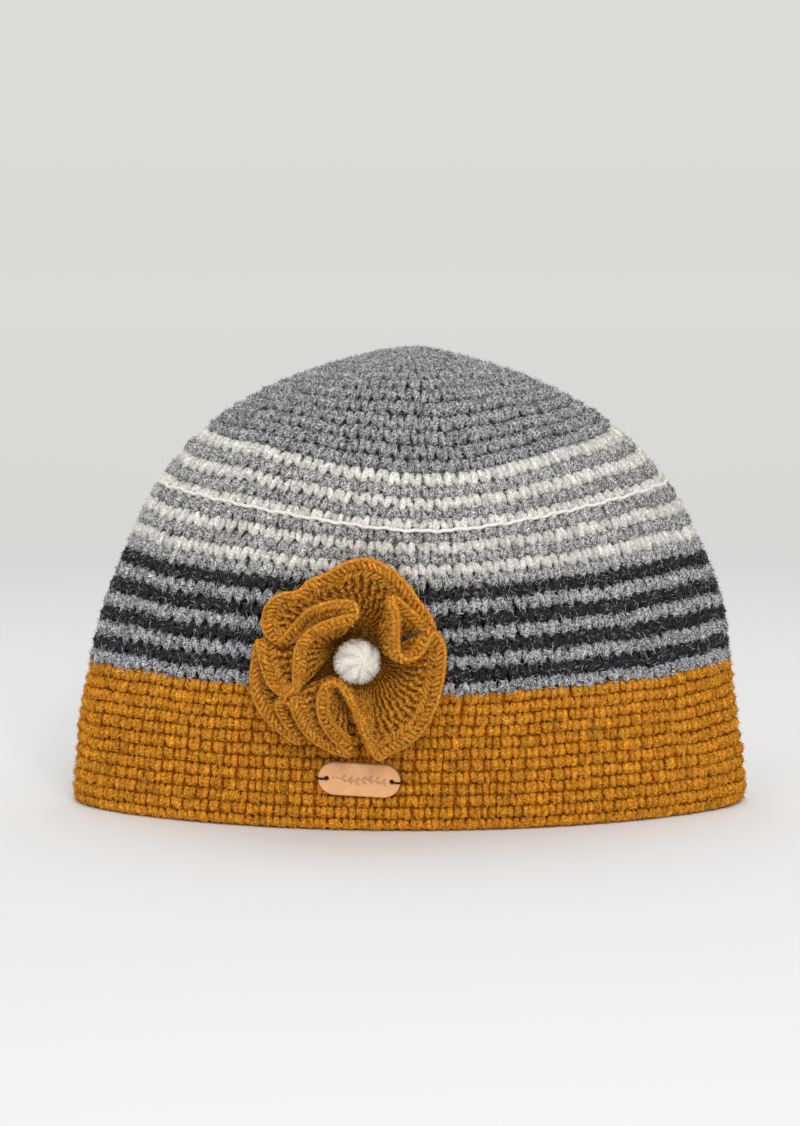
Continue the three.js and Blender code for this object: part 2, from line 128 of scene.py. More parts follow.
# The tag and its stitches
TAG_LENGTH = 29.0
TAG_HEIGHT = 12.3
TAG_THICKNESS = 1.8
TAG_OFFSET_X = -17.6
TAG_OFFSET_Z = 19.5
TAG_TILT = math.radians(-2.4)
HOLE_DIAMETER = 1.4
HOLE_INSET = 3.1
HOLE_X = TAG_LENGTH / 2 - HOLE_INSET
THREAD_DIAMETER = 0.8

# Wools: the yarn's own colour, that of the fibres spun into it, that of its brightest loose fibres,
# the painted shade between its stitches, and the share of its loose fibres that are bright
MUSTARD = ((0.87, 0.395, 0.036), (0.42, 0.12, 0.005), (0.98, 0.51, 0.065), (0.52, 0.14, 0.004), 0.6)
PETAL = ((0.82, 0.375, 0.045), (0.36, 0.105, 0.006), (0.92, 0.49, 0.085), (0.10, 0.03, 0.002), 0.6)
LIGHT_GREY = ((0.70, 0.71, 0.73), (0.025, 0.025, 0.03), (0.95, 0.95, 0.96), (0.012, 0.012, 0.012), 0.45)
CHARCOAL = ((0.004, 0.004, 0.005), (0.05, 0.05, 0.053), (0.50, 0.50, 0.52), (0.003, 0.003, 0.003), 0.17)
WHITE = ((0.93, 0.90, 0.85), (0.55, 0.52, 0.47), (0.98, 0.97, 0.94), (0.20, 0.19, 0.18), 0.8)
MARL = ((0.62, 0.62, 0.63), (0.065, 0.065, 0.07), (0.80, 0.80, 0.81), (0.05, 0.05, 0.05), 0.46)
PALE_MARL = ((0.74, 0.72, 0.69), (0.07, 0.07, 0.07), (0.95, 0.94, 0.92), (0.10, 0.10, 0.10), 0.45)
YARN, FLECK, GLINT, SHADE, GLINT_SHARE = range(5)
ROUND_WOOLS = (
    [MUSTARD] * BAND_ROUNDS
    + [LIGHT_GREY, CHARCOAL] * ((CHARCOAL_END - BAND_ROUNDS) // 2)
    + [PALE_MARL, WHITE] * ((STRIPE_END - CHARCOAL_END) // 2)
    + [MARL] * (ROUNDS - STRIPE_END)
)
BALL_WOOL = np.array([0.98, 0.925, 0.84])
LEATHER = np.array([0.78, 0.41, 0.19])
THREAD_TONE = np.array([0.022, 0.015, 0.012])


# Helpers for shapes

def smoothstep(value, low, high):
    """Rises smoothly from 0 at low to 1 at high."""
    t = np.clip((value - low) / (high - low), 0, 1)
    return t * t * (3 - 2 * t)


def unit(vectors):
    """The vectors with a length of one."""
    return vectors / np.maximum(np.linalg.norm(vectors, axis=-1, keepdims=True), 1e-9)


def flattened(vectors, normals):
    """The part of the vectors that lies along the faces with the normals."""
    return vectors - (vectors * normals).sum(-1, keepdims=True) * normals


def joined(*lists):
    """Each of some lists of arrays as one array."""
    return [np.concatenate(arrays) for arrays in lists]


def even_angles(count):
    """Angles spaced evenly round a full turn."""
    return np.arange(count) / count * FULL_TURN


def around(radius, angle, height):
    """Points at a distance and an angle round an upright axis, and at a height."""
    return np.stack([radius * np.cos(angle), radius * np.sin(angle), height], -1)


def halve(low, high, is_low):
    """The place between low and high where is_low stops being true."""
    for _ in range(40):
        middle = (low + high) / 2
        if is_low(middle):
            low = middle
        else:
            high = middle
    return (low + high) / 2


def curve_through(controls, samples):
    """Smooth curves (n, samples, 3) through controls (n, k, 3)."""
    count = controls.shape[1]
    t = np.linspace(0, count - 1, samples)
    i = np.clip(t.astype(int), 0, count - 2)
    f = (t - i)[None, :, None]
    padded = np.concatenate([
        2 * controls[:, :1] - controls[:, 1:2],
        controls,
        2 * controls[:, -1:] - controls[:, -2:-1],
    ], 1)
    a, b, c, d = (padded[:, i + s] for s in range(4))
    bend = 2 * a - 5 * b + 4 * c - d
    twist = 3 * b - a - 3 * c + d
    return 0.5 * (2 * b + (c - a) * f + bend * f**2 + twist * f**3)


# The cap's surface

def section_value(key, up):
    """One column of the sections, smoothly read at a share of the way up the rounds."""
    x = SECTIONS[:, UP]
    y = SECTIONS[:, key]
    slope = np.empty(len(x))
    slope[1:-1] = (y[2:] - y[:-2]) / (x[2:] - x[:-2])
    slope[0] = (y[1] - y[0]) / (x[1] - x[0])
    slope[-1] = (y[-1] - y[-2]) / (x[-1] - x[-2])
    i = np.clip(np.searchsorted(x, up, side="left") - 1, 0, len(x) - 2)
    span = x[i + 1] - x[i]
    t = np.clip((up - x[i]) / span, 0, 1)
    rise = y[i + 1] - y[i]
    start_pull = slope[i] * span - rise
    end_pull = rise - slope[i + 1] * span
    return y[i] + rise * t + t * (1 - t) * (start_pull * (1 - t) + end_pull * t)


def corner_weight(across):
    """1 at the soft corner of the front and the back, and 0 at the sides."""
    shifted = across - CORNER_SHIFT * (1 - across * across)
    soft = np.hypot(shifted, CORNER_SOFTNESS) - CORNER_SOFTNESS
    return 1 - soft / (math.hypot(1, CORNER_SOFTNESS) - CORNER_SOFTNESS)


band_low, band_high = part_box("band")
CENTRE_Y = (band_low.y + band_high.y) / 2 / MM


def cap_point(turn, up):
    """The cap's surface at a turn from the front, in radians, and a share of the way up the rounds."""
    turn, up = np.broadcast_arrays(np.asarray(turn, float), np.asarray(up, float))
    side_height = CAP_HEIGHT * section_value(SIDE_HEIGHT, up)
    half_width = CAP_WIDTH / 2 * section_value(HALF_WIDTH, up)
    front_height = CAP_HEIGHT * section_value(FRONT_HEIGHT, up)
    half_depth = CAP_DEPTH / 2 * section_value(HALF_DEPTH, up)
    lean = CAP_WIDTH / 2 * section_value(LEAN, up)
    across = np.sin(turn)
    forward = np.cos(turn)
    corner = CORNER_SHARE * smoothstep(up, CORNER_START, CORNER_END)
    weight = corner_weight(across)
    folded = np.sign(forward) * (SIDE_FOLD_SHARE * forward * forward + corner * weight)
    y = -half_depth * ((1 - SIDE_FOLD_SHARE - corner) * forward + folded)
    z = side_height + (front_height - side_height) * weight
    return np.stack([lean + half_width * across, y + CENTRE_Y, z], -1)


def cap_normal(turn, up):
    """The direction out of the cap's surface."""
    turn, up = np.broadcast_arrays(np.asarray(turn, float), np.asarray(up, float))
    step = 2e-3
    highest = 0.995
    above = np.clip(up + step, 2 * step, highest)
    along = cap_point(turn + step, up) - cap_point(turn - step, up)
    rise = cap_point(turn, above) - cap_point(turn, above - 2 * step)
    return unit(np.cross(along, rise))


def cap_place(turn, up, height):
    """A point at a height over the cap's surface."""
    return cap_point(turn, up) + cap_normal(turn, up) * np.asarray(height)[..., None]


class Round:
    """One height on the cap, with its turns spaced by length."""

    def __init__(self, up):
        self.turns = np.linspace(0, FULL_TURN, 1441)
        steps = np.linalg.norm(np.diff(cap_point(self.turns, up), axis=0), axis=1)
        self.lengths = np.concatenate([[0], np.cumsum(steps)])
        self.length = self.lengths[-1]

    def turn(self, share):
        """The turns at shares of the way round."""
        share = np.asarray(share, float)
        whole = np.floor(share)
        part = np.interp((share - whole) * self.length, self.lengths, self.turns)
        return part + whole * FULL_TURN


def front_frame(x, z):
    """Point, right, upwards and outwards on the cap's front at a place across and a height."""
    up = halve(0, 1, lambda v: CAP_HEIGHT * section_value(SIDE_HEIGHT, np.array(v)) < z)
    for _ in range(4):
        turn = halve(-math.pi / 2, math.pi / 2, lambda v: cap_point(v, up)[0] < x)
        up = halve(0, 1, lambda v: cap_point(turn, v)[2] < z)
    outwards = cap_normal(turn, up)
    right = unit(np.cross([0, 0, 1], outwards))
    return cap_point(turn, up), right, np.cross(outwards, right), outwards


def in_frame(at, points):
    """Points of a frame on the cap's front, as points of the cap."""
    origin, right, upwards, outwards = at
    return origin + points[..., 0:1] * right + points[..., 1:2] * upwards + points[..., 2:3] * outwards


def round_tones(key, rows):
    """One tone of the wool of each of some rounds."""
    return np.array([wool_of[key] for wool_of in ROUND_WOOLS])[rows]


# Meshes

def mesh_object(name, points, quads, places, wool_tone, fleck_tone=None, tris=None):
    """A smooth mesh of points in millimetres, with its places along the yarn and its one or two tones."""
    tris = np.zeros((0, 3), int) if tris is None else tris
    points = np.asarray(points, float).reshape(-1, 3)
    mesh = bpy.data.meshes.new(name)
    mesh.vertices.add(len(points))
    mesh.vertices.foreach_set("co", (points * MM).astype(np.float32).ravel())
    corners = np.concatenate([quads.ravel(), tris.ravel()]).astype(np.int32)
    starts = np.concatenate([np.arange(len(quads)) * 4, quads.size + np.arange(len(tris)) * 3])
    mesh.loops.add(len(corners))
    mesh.loops.foreach_set("vertex_index", corners)
    mesh.polygons.add(len(starts))
    mesh.polygons.foreach_set("loop_start", starts.astype(np.int32))
    mesh.update(calc_edges=True)
    mesh.validate()
    mesh.shade_smooth()
    layer = mesh.attributes.new("yarn", "FLOAT_VECTOR", "POINT")
    layer.data.foreach_set("vector", np.asarray(places, np.float32).ravel())
    for key, tone in (("wool", wool_tone), ("fleck", fleck_tone)):
        if tone is None:
            continue
        rgba = np.ones((len(points), 4), np.float32)
        rgba[:, :3] = np.asarray(tone, np.float32).reshape(-1, 3)
        layer = mesh.attributes.new(key, "FLOAT_COLOR", "POINT")
        layer.data.foreach_set("color", rgba.ravel())
    made = bpy.data.objects.new(name, mesh)
    bpy.context.scene.collection.objects.link(made)
    return made


def grid_faces(rows, columns, wrap):
    """The quads of a grid of points, which may close on itself across its columns."""
    r = np.arange(rows - 1)[:, None] * columns
    c = np.arange(columns if wrap else columns - 1)[None]
    n = (c + 1) % columns
    return np.stack([r + c, r + n, r + columns + n, r + columns + c], -1).reshape(-1, 4)


def closed_faces(rows, columns):
    """The quads of a grid of points that closes on itself both ways."""
    last = (rows - 1) * columns
    c = np.arange(columns)
    n = (c + 1) % columns
    return np.concatenate([grid_faces(rows, columns, True), np.stack([last + c, last + n, n, c], -1)])


# How a strand's yarn runs and twists for each millimetre along it, how far its ends bulge, as a share of
# its radius, and how far apart the places of two strands are, so that no two look the same
YARN_RUN = 0.35
YARN_TWIST = 0.9
END_BULGE = 0.6
STRAND_SHIFT = np.array([7.31, 2.7047, 0.8041])


def strands(centres, normals, radii, sides=5):
    """Plump closed strands from centres and normals (n, k, 3) and radii (n, k).

    Gives the points, quads, triangles and places along the yarn, and how many points a strand has.
    """
    count, rings = radii.shape
    tangent = unit(np.gradient(centres, axis=1))
    across = unit(np.cross(tangent, normals))
    outwards = np.cross(across, tangent)
    angle = even_angles(sides)
    cosine = np.cos(angle)[None, None, :, None]
    sine = np.sin(angle)[None, None, :, None]
    ring = across[:, :, None] * cosine + outwards[:, :, None] * sine
    body = centres[:, :, None] + ring * radii[..., None, None]
    first = centres[:, 0] - tangent[:, 0] * radii[:, 0, None] * END_BULGE
    last = centres[:, -1] + tangent[:, -1] * radii[:, -1, None] * END_BULGE
    points = np.concatenate([body.reshape(count, -1, 3), first[:, None], last[:, None]], 1)
    size = rings * sides + 2
    base = (np.arange(count) * size)[:, None, None]
    quads = (base + grid_faces(rings, sides, True)[None]).reshape(-1, 4)
    j = np.arange(sides)
    n = (j + 1) % sides
    top = (rings - 1) * sides
    start = np.stack([np.full(sides, rings * sides), n, j], -1)
    end = np.stack([np.full(sides, rings * sides + 1), top + j, top + n], -1)
    tris = (base + np.concatenate([start, end])[None]).reshape(-1, 3)
    run = np.linalg.norm(np.diff(centres, axis=1), axis=-1)
    along = np.concatenate([np.zeros((count, 1)), np.cumsum(run, 1)], 1)
    turned = angle[None, None] + along[..., None] * YARN_TWIST
    place = np.stack([
        np.broadcast_to(along[..., None] * YARN_RUN, turned.shape),
        np.cos(turned),
        np.sin(turned),
    ], -1).reshape(count, -1, 3)
    ends = np.stack([place[:, 0] * [1, 0, 0], place[:, -1] * [1, 0, 0]], 1)
    places = np.concatenate([place, ends], 1) + np.arange(count)[:, None, None] * STRAND_SHIFT
    return points, quads, tris, places, size


def closed_strand(name, centre, first_arm, second_arm, run, twist, wool_tone, fleck_tone):
    """A strand that closes on itself, an oval between two arms from its centre."""
    sides = 8
    angle = even_angles(sides)[None, :, None]
    points = centre[:, None] + first_arm[:, None] * np.cos(angle) + second_arm[:, None] * np.sin(angle)
    turned = angle[..., 0] + twist[:, None]
    places = np.stack([np.broadcast_to(run[:, None], turned.shape), np.cos(turned), np.sin(turned)], -1)
    return mesh_object(name, points, closed_faces(len(centre), sides), places, wool_tone, fleck_tone)


# Tones and loose fibres

def shaded_tones(colours, flecks, shades, size):
    """The two tones on all the points of some strands, with painted shade that darkens them towards their
    ends.
    """
    rings = np.repeat(shades, (size - 2) // len(shades))
    unshaded = np.concatenate([rings, [shades[0], shades[-1]]])[None, :, None]
    # The dark tone of the painted shade in the grooves
    deep = np.minimum(colours, flecks)[:, None] * 0.8
    return deep + (colours[:, None] - deep) * unshaded, flecks[:, None] * (0.5 + 0.5 * unshaded)


def loose_tones(flecks, glints, shares):
    """Colours of loose fibres, a share of them bright and the others dark."""
    count = len(flecks)
    bright = glints * RNG.uniform(0.55, 1.0, (count, 1))
    dark = flecks * RNG.uniform(0.5, 1.4, (count, 1))
    return np.where((RNG.random(count) < shares)[:, None], bright, dark)


def petal_fibres(count):
    """Colours of the flower's loose fibres."""
    flecks, glints = (np.broadcast_to(PETAL[key], (count, 3)) for key in (FLECK, GLINT))
    return loose_tones(flecks, glints, PETAL[GLINT_SHARE])


def pile_mesh(name, start, face, lengths, width, colour):
    """Short fibres as thin triangles that lie along a face and lift off it."""
    count = len(start)
    flat = unit(flattened(RNG.normal(0, 1, (count, 3)), face))
    direction = unit(flat + face * RNG.uniform(0.02, 0.5, (count, 1)))
    side = unit(np.cross(direction, face)) * width / 2
    tip = start + direction * lengths[:, None]
    tip[:, 2] = np.maximum(tip[:, 2], 0.1)
    points = np.stack([start - side, start + side, tip], 1)
    tris = np.arange(count * 3).reshape(-1, 3)
    tone = np.repeat(colour[:, None], 3, 1)
    return mesh_object(name, points, np.zeros((0, 4), int), points, tone, tone * 0.85, tris)


# The shortest and longest fibres of the pile on the stitches, and their width, in millimetres
PILE_LENGTHS = (0.7, 2.4)
PILE_WIDTH = 0.24


def strand_pile(name, centres, normals, radii, strand, colour):
    """Short loose fibres that stand off the outer side of some strands."""
    count = len(strand)
    ring = RNG.integers(1, centres.shape[1] - 1, count)
    tangent = unit(np.gradient(centres, axis=1))[strand, ring]
    outwards = normals[strand, ring]
    across = unit(np.cross(tangent, outwards))
    angle = RNG.uniform(-1.4, 1.4, (count, 1))
    face = across * np.sin(angle) + outwards * np.cos(angle)
    start = centres[strand, ring] + face * radii[strand, ring][:, None] * 0.93
    return pile_mesh(name, start, face, RNG.uniform(*PILE_LENGTHS, count), PILE_WIDTH, colour)


def ribbon_mesh(name, path, side, colour, fleck_share):
    """Thin ribbons along paths (n, k, 3), with half their width to each side, kept off the floor."""
    count, steps = path.shape[:2]
    points = np.stack([path - side, path + side], 2).reshape(count, -1, 3)
    points[..., 2] = np.maximum(points[..., 2], 0.05)
    k = np.arange(steps - 1)[:, None] * 2
    quad = np.concatenate([k, k + 1, k + 3, k + 2], 1)
    quads = ((np.arange(count) * steps * 2)[:, None, None] + quad[None]).reshape(-1, 4)
    tone = np.repeat(colour[:, None], steps * 2, 1)
    return mesh_object(name, points, quads, points, tone, tone * fleck_share)


def long_fibres(name, start, direction, normals, lengths, width, colour, rise):
    """Thin curved fibres of fuzz that stand off a surface."""
    count = len(start)
    t = np.linspace(0, 1, 3)[None, :, None]
    bend = unit(np.cross(direction, normals)) * RNG.normal(0, 0.35, (count, 1))
    path = start[:, None] + (direction[:, None] * t + bend[:, None] * t * t) * lengths[:, None, None]
    path = path + (normals * rise[:, None])[:, None] * np.sin(t * math.pi * 0.6)
    tangent = unit(np.gradient(path, axis=1))
    facing = unit(normals + RNG.normal(0, 0.4, (count, 3)))
    side = unit(np.cross(tangent, facing[:, None])) * (width * (1 - 0.6 * t)) / 2
    return ribbon_mesh(name, path, side, colour, 0.8)


# The crocheted rounds. A stitch has two legs, each with its place along the round in stitches, up in
# rounds, and its height in millimetres. In the band they are short and plump, in the stripes the right
# one reaches into the round below, and at the top they make a V.
BAND_LEGS = {
    "left": np.array([
        [0.24, 0.9, -1.9], [0.26, 0.74, -0.75], [0.29, 0.48, -0.4], [0.33, 0.24, -0.8], [0.37, 0.08, -1.9],
    ]),
    "right": np.array([
        [0.74, 0.92, -1.9], [0.74, 0.76, -0.7], [0.73, 0.48, -0.35], [0.69, 0.22, -0.75], [0.66, 0.04, -1.9],
    ]),
}
STRIPE_LEGS = {
    "left": np.array([
        [0.12, 1.0, -1.8], [0.17, 0.76, -0.65], [0.27, 0.42, -0.4], [0.38, 0.12, -0.9], [0.46, -0.06, -1.8],
    ]),
    "right": np.array([
        [0.86, 1.02, -1.8], [0.83, 0.74, -0.6], [0.77, 0.36, -0.3], [0.69, 0.0, -0.45], [0.6, -0.28, -1.2],
    ]),
}
TOP_LEGS = {
    "left": np.array([
        [0.14, 0.94, -2.1], [0.18, 0.76, -0.7], [0.26, 0.48, -0.3], [0.36, 0.22, -0.9], [0.43, 0.06, -2.1],
    ]),
    "right": np.array([
        [0.84, 0.96, -2.1], [0.81, 0.76, -0.65], [0.75, 0.46, -0.25], [0.66, 0.16, -0.8], [0.58, -0.04, -2.1],
    ]),
}
LEG_RADIUS = {"left": 1.36, "right": 1.42}
# Painted shade along a leg from its top to its foot: how much of the yarn's colour is kept, least where it
# goes into the groove between stitches
LEG_SHADES = [0.2, 0.85, 1.0, 0.8, 0.15]
LEG_RINGS = len(LEG_SHADES)
# How far each round of the band is shifted against the one below, in stitches
BAND_DRIFT = 0.07
# How much stitches differ along the round, up it and in height, then in thickness and in tone. The first
# two have a value for the whole stitch and one for each of its points.
ALONG_SPREAD = (0.05, 0.03)
UP_SPREAD = (0.025, 0.025)
HEIGHT_SPREAD = 0.14
SIZE_SPREAD = 0.08
TONE_SPREAD = 0.12
# The lowest and highest that a leg may reach, as shares of the way up the rounds
LEG_REACH = (0.004, 0.997)


def legs_of(row):
    """The two legs of a round's stitches."""
    if row < BAND_ROUNDS:
        return BAND_LEGS
    return STRIPE_LEGS if row < STRIPE_END else TOP_LEGS


def stitches_of(row, length):
    """How many stitches a round of some length has."""
    if row < CHARCOAL_END:
        return STITCHES
    return max(6, round(length / STITCH_PITCH))


def row_wave(row, turn):
    """How far a round wanders up or down along its turn, in rounds."""
    wave = 0.09 * np.sin(3 * turn + 0.31 * row) + 0.07 * np.sin(8 * turn + 1.3 + 0.23 * row)
    wave = wave + 0.05 * np.sin(19 * turn + 0.6 * row)
    return wave * smoothstep(np.asarray(float(row)), 1.0, 6.0)


def scatter(count, points, spreads):
    """Random shifts of whole stitches and of each of their points."""
    return RNG.normal(0, spreads[0], (count, 1)) + RNG.normal(0, spreads[1], (count, points))


def stitch_rounds(name, rows, fibres):
    """One mesh with all the stitches of some rounds, and one with the loose fibres that stand off them."""
    centres, normals, radii, colours, flecks, row_of = [], [], [], [], [], []
    t = np.linspace(0, 1, LEG_RINGS)[None]
    swell = 0.5 + 0.5 * np.sin((t * 0.9 + 0.05) * math.pi) ** 0.8
    for row in rows:
        ring = Round((row + 0.5) / ROUNDS)
        count = stitches_of(row, ring.length)
        thinned = min(1.0, ring.length / count / STITCH_PITCH)
        drift = BAND_DRIFT * row if row < BAND_ROUNDS else RNG.random()
        for side, leg in legs_of(row).items():
            controls = np.broadcast_to(leg, (count, *leg.shape)).copy()
            controls[..., 0] += np.arange(count)[:, None] + drift
            controls[..., 0] += scatter(count, len(leg), ALONG_SPREAD)
            controls[..., 1] += scatter(count, len(leg), UP_SPREAD)
            controls[..., 2] += RNG.normal(0, HEIGHT_SPREAD, (count, 1))
            path = curve_through(controls, LEG_RINGS)
            turn = ring.turn(path[..., 0] / count)
            up = np.clip((row + path[..., 1] + row_wave(row, turn)) / ROUNDS, *LEG_REACH)
            centres.append(cap_place(turn, up, path[..., 2]))
            normals.append(cap_normal(turn, up))
            radii.append(swell * LEG_RADIUS[side] * thinned * RNG.normal(1, SIZE_SPREAD, (count, 1)))
            tone = np.clip(RNG.normal(1, TONE_SPREAD, (count, 1)), 0.65, 1.35)
            colours.append(np.array(ROUND_WOOLS[row][YARN]) * tone)
            flecks.append(np.array(ROUND_WOOLS[row][FLECK]) * tone)
            row_of.append(np.full(count, row))
    centres, normals, radii = joined(centres, normals, radii)
    colours, flecks, row_of = joined(colours, flecks, row_of)
    centres[..., 2] = np.maximum(centres[..., 2], radii + 0.05)
    points, quads, tris, places, size = strands(centres, normals, radii)
    made = mesh_object(name, points, quads, places, *shaded_tones(colours, flecks, LEG_SHADES, size), tris)
    strand = RNG.integers(0, len(centres), fibres)
    colour = loose_tones(*(round_tones(key, row_of[strand]) for key in (FLECK, GLINT, GLINT_SHARE)))
    return made, strand_pile(name + "_pile", centres, normals, radii, strand, colour)


# The fabric behind the stitches: where it starts and ends up the rounds, how deep its outer face lies,
# and how high the bars of its inner face rise
LINING_REACH = (0.006, 0.992)
LINING_DEPTH = 1.6
BAR_RISE = 0.9


def cap_lining():
    """The fabric behind the stitches. Its inner face has the bars of the wrong side."""
    columns, outer_rows, inner_rows = 168, 45, 89
    turns = Round(0.3).turn(np.arange(columns) / columns)[None]
    up = np.linspace(*LINING_REACH, outer_rows)[:, None]
    outer = cap_place(turns, up, np.full((outer_rows, columns), -LINING_DEPTH))
    inner_up = np.linspace(*LINING_REACH[::-1], inner_rows)[:, None]
    bars = np.abs(np.sin(inner_up * ROUNDS * math.pi)) ** 0.7
    loops = 0.75 + 0.25 * np.cos(np.arange(columns)[None] * math.pi)
    inner = cap_place(turns, inner_up, -WALL + 0.5 - BAR_RISE * bars * loops)
    points = np.concatenate([outer.reshape(-1, 3), inner.reshape(-1, 3)])
    points[:, 2] = np.maximum(points[:, 2], 0.4)
    ups = np.repeat(np.concatenate([up[:, 0], inner_up[:, 0]]), columns)
    outside = (np.arange(len(points)) < outer_rows * columns)[:, None]
    row_at = np.clip((ups * ROUNDS).astype(int), 0, ROUNDS - 1)
    # The outer face, seen in the gaps between the stitches, takes the wool's painted shade
    shade = round_tones(SHADE, row_at)
    tone = np.where(outside, shade, round_tones(YARN, row_at) * 0.9)
    fleck = np.where(outside, shade * 0.6, round_tones(FLECK, row_at) * 0.9)
    quads = closed_faces(outer_rows + inner_rows, columns)
    return mesh_object("cap_lining", points, quads, points * 0.5, tone, fleck)


# The rim's two strands: shift along the round in stitches, then how far inwards, where they start and
# how high they end, in millimetres
RIM_STRANDS = ((0.0, 0.9, 2.6, 0.9), (0.5, 2.2, 1.0, 1.5))
RIM_LINK_LENGTH = 1.5


def rim_edge():
    """Two strands that run round the rim's lower edge, one stitch to a link."""
    ring = Round(0.01)
    centres, normals, radii = [], [], []
    t = np.linspace(0, 1, LEG_RINGS)[None]
    index = np.arange(STITCHES)[:, None]
    for shift, inward, low, high in RIM_STRANDS:
        turn = ring.turn((index + shift + (t - 0.5) * RIM_LINK_LENGTH) / STITCHES)
        flat = unit(cap_normal(turn, 0.02) * [1, 1, 0])
        place = cap_point(turn, LEG_REACH[0]) - flat * (inward - 0.5 * np.sin(t * math.pi))[..., None]
        place[..., 2] = low + (high - low) * t + RNG.normal(0, 0.08, (STITCHES, 1))
        centres.append(place)
        normals.append(np.broadcast_to(flat, place.shape))
        radii.append((0.5 + 0.45 * np.sin(t * math.pi)) * RNG.normal(1, 0.06, (STITCHES, 1)))
    centres, normals, radii = joined(centres, normals, radii)
    centres[..., 2] = np.maximum(centres[..., 2], radii + 0.02)
    points, quads, tris, places, _ = strands(centres, normals, radii)
    return mesh_object("rim_edge", points, quads, places, MUSTARD[YARN], MUSTARD[FLECK], tris)


PALE_LINE_ROUND = 25.1
PALE_LINE_RADIUS = 0.62
PALE_LINE_HEIGHT = 0.75


def pale_line():
    """The smooth raised line of white yarn under the third white round."""
    count = 720
    ring = Round(PALE_LINE_ROUND / ROUNDS)
    share = np.arange(count) / count
    turn = ring.turn(share)
    wobble = 0.05 * np.sin(share * FULL_TURN * 37) + 0.04 * np.sin(share * FULL_TURN * 91 + 1)
    up = (PALE_LINE_ROUND + wobble) / ROUNDS
    centre = cap_place(turn, up, np.full(count, PALE_LINE_HEIGHT))
    normal = cap_normal(turn, up)
    side = unit(np.cross(unit(np.roll(centre, -1, 0) - np.roll(centre, 1, 0)), normal))
    return closed_strand(
        "pale_line", centre, side * PALE_LINE_RADIUS, normal * PALE_LINE_RADIUS,
        share * ring.length * 0.2, np.zeros(count), np.array(WHITE[YARN]) * 0.9, np.array(WHITE[FLECK]) * 1.3,
    )


FUZZ_WIDTH = 0.14


def cap_fuzz(name, low_row, high_row, count, length):
    """The long loose fibres over some rounds."""
    up = RNG.uniform(low_row / ROUNDS, high_row / ROUNDS, count)
    turn = RNG.uniform(0, FULL_TURN, count)
    start = cap_place(turn, up, RNG.uniform(-0.2, 0.75, count))
    normal = cap_normal(turn, up)
    direction = unit(flattened(RNG.normal(0, 1, (count, 3)), normal))
    row = np.clip((up * ROUNDS).astype(int), 0, ROUNDS - 1)
    colour = loose_tones(round_tones(YARN, row), round_tones(GLINT, row), 0.6)
    rise = np.abs(RNG.normal(0.35, 0.45, count))
    start[:, 2] = np.maximum(start[:, 2], 1.0)
    direction[:, 2] = np.where(start[:, 2] < 6, np.abs(direction[:, 2]), direction[:, 2])
    lengths = RNG.uniform(0.4, 1.0, count) * length
    return long_fibres(name, start, direction, normal, lengths, FUZZ_WIDTH, colour, rise)


# The flower's strip

def root_distance(start, end):
    """The square roots of the distances between two lists of points."""
    return np.maximum(np.linalg.norm(end - start, axis=1, keepdims=True) ** 0.5, 1e-4)


def closed_curve(points, samples):
    """Even points along the closed curve through the points, and its length."""
    p0, p1, p2, p3 = (np.roll(points, 1 - s, 0) for s in range(4))
    d0, d1, d2 = root_distance(p0, p1), root_distance(p1, p2), root_distance(p2, p3)
    t1 = ((p1 - p0) / d0 - (p2 - p0) / (d0 + d1) + (p2 - p1) / d1) * d1
    t2 = ((p2 - p1) / d1 - (p3 - p1) / (d1 + d2) + (p3 - p2) / d2) * d1
    f = np.linspace(0, 1, 40, endpoint=False)[None, :, None]
    c2 = -3 * p1 + 3 * p2 - 2 * t1 - t2
    c3 = 2 * p1 - 2 * p2 + t1 + t2
    dense = (p1[:, None] + t1[:, None] * f + c2[:, None] * f**2 + c3[:, None] * f**3).reshape(-1, 3)
    loop = np.concatenate([dense, dense[:1]])
    lengths = np.concatenate([[0], np.cumsum(np.linalg.norm(np.diff(loop, axis=0), axis=1))])
    at = np.linspace(0, lengths[-1], samples, endpoint=False)
    return np.stack([np.interp(at, lengths, loop[:, k]) for k in range(3)], -1), lengths[-1]


def fold_edge(samples):
    """Even points along the strip's edge through its folds, in the flower's frame, and its length."""
    angle = np.radians(FOLDS[:, 0])
    reach = FOLDS[:, 1] * FLOWER_RADIUS
    return closed_curve(around(reach, angle, FOLDS[:, 2] * FLOWER_LIFT), samples)


def strip_points(samples, steps):
    """Rulings of the strip (samples, steps + 1, 3), in the flower's frame, and the edge's length."""
    edge, length = fold_edge(samples)
    reach = round(samples * GATHER_SPREAD)
    wrapped = np.concatenate([edge[-reach:], edge, edge[:reach]])
    sums = np.concatenate([np.zeros((1, 3)), np.cumsum(wrapped, 0)])
    mean = (sums[2 * reach + 1:] - sums[:samples]) / (2 * reach + 1)
    angle = np.arctan2(mean[:, 1], mean[:, 0])
    root = around(ROOT_RADIUS, angle, np.full(samples, HUB_THICKNESS / 2))
    t = np.linspace(0, 1, steps + 1)[None, :, None]
    points = root[:, None] * (1 - t) + edge[:, None] * t
    lift = edge[:, None, 2] / FLOWER_LIFT
    points[..., 2] += (PETAL_BULGE * lift**2 - PETAL_SAG) * np.sin(math.pi * t[..., 0])
    return points, length


def strip_normals(points):
    """The directions off the strip's face, along its edge and outwards along its rulings."""
    along = np.roll(points, -1, 0) - np.roll(points, 1, 0)
    outwards = np.gradient(points, axis=1)
    return unit(np.cross(along, outwards)), unit(along), unit(outwards)


def painted_strip_light(edge_height, along):
    """How bright the strip is painted: painted shade darkens it towards its root, most where its edge is low.
    """
    return 0.35 + 0.65 * smoothstep(along + 0.85 * edge_height / FLOWER_LIFT, 0.3, 0.9)


RIB_SAMPLES = 8
RIB_HEIGHT = 0.65
RULING_STEPS = 26


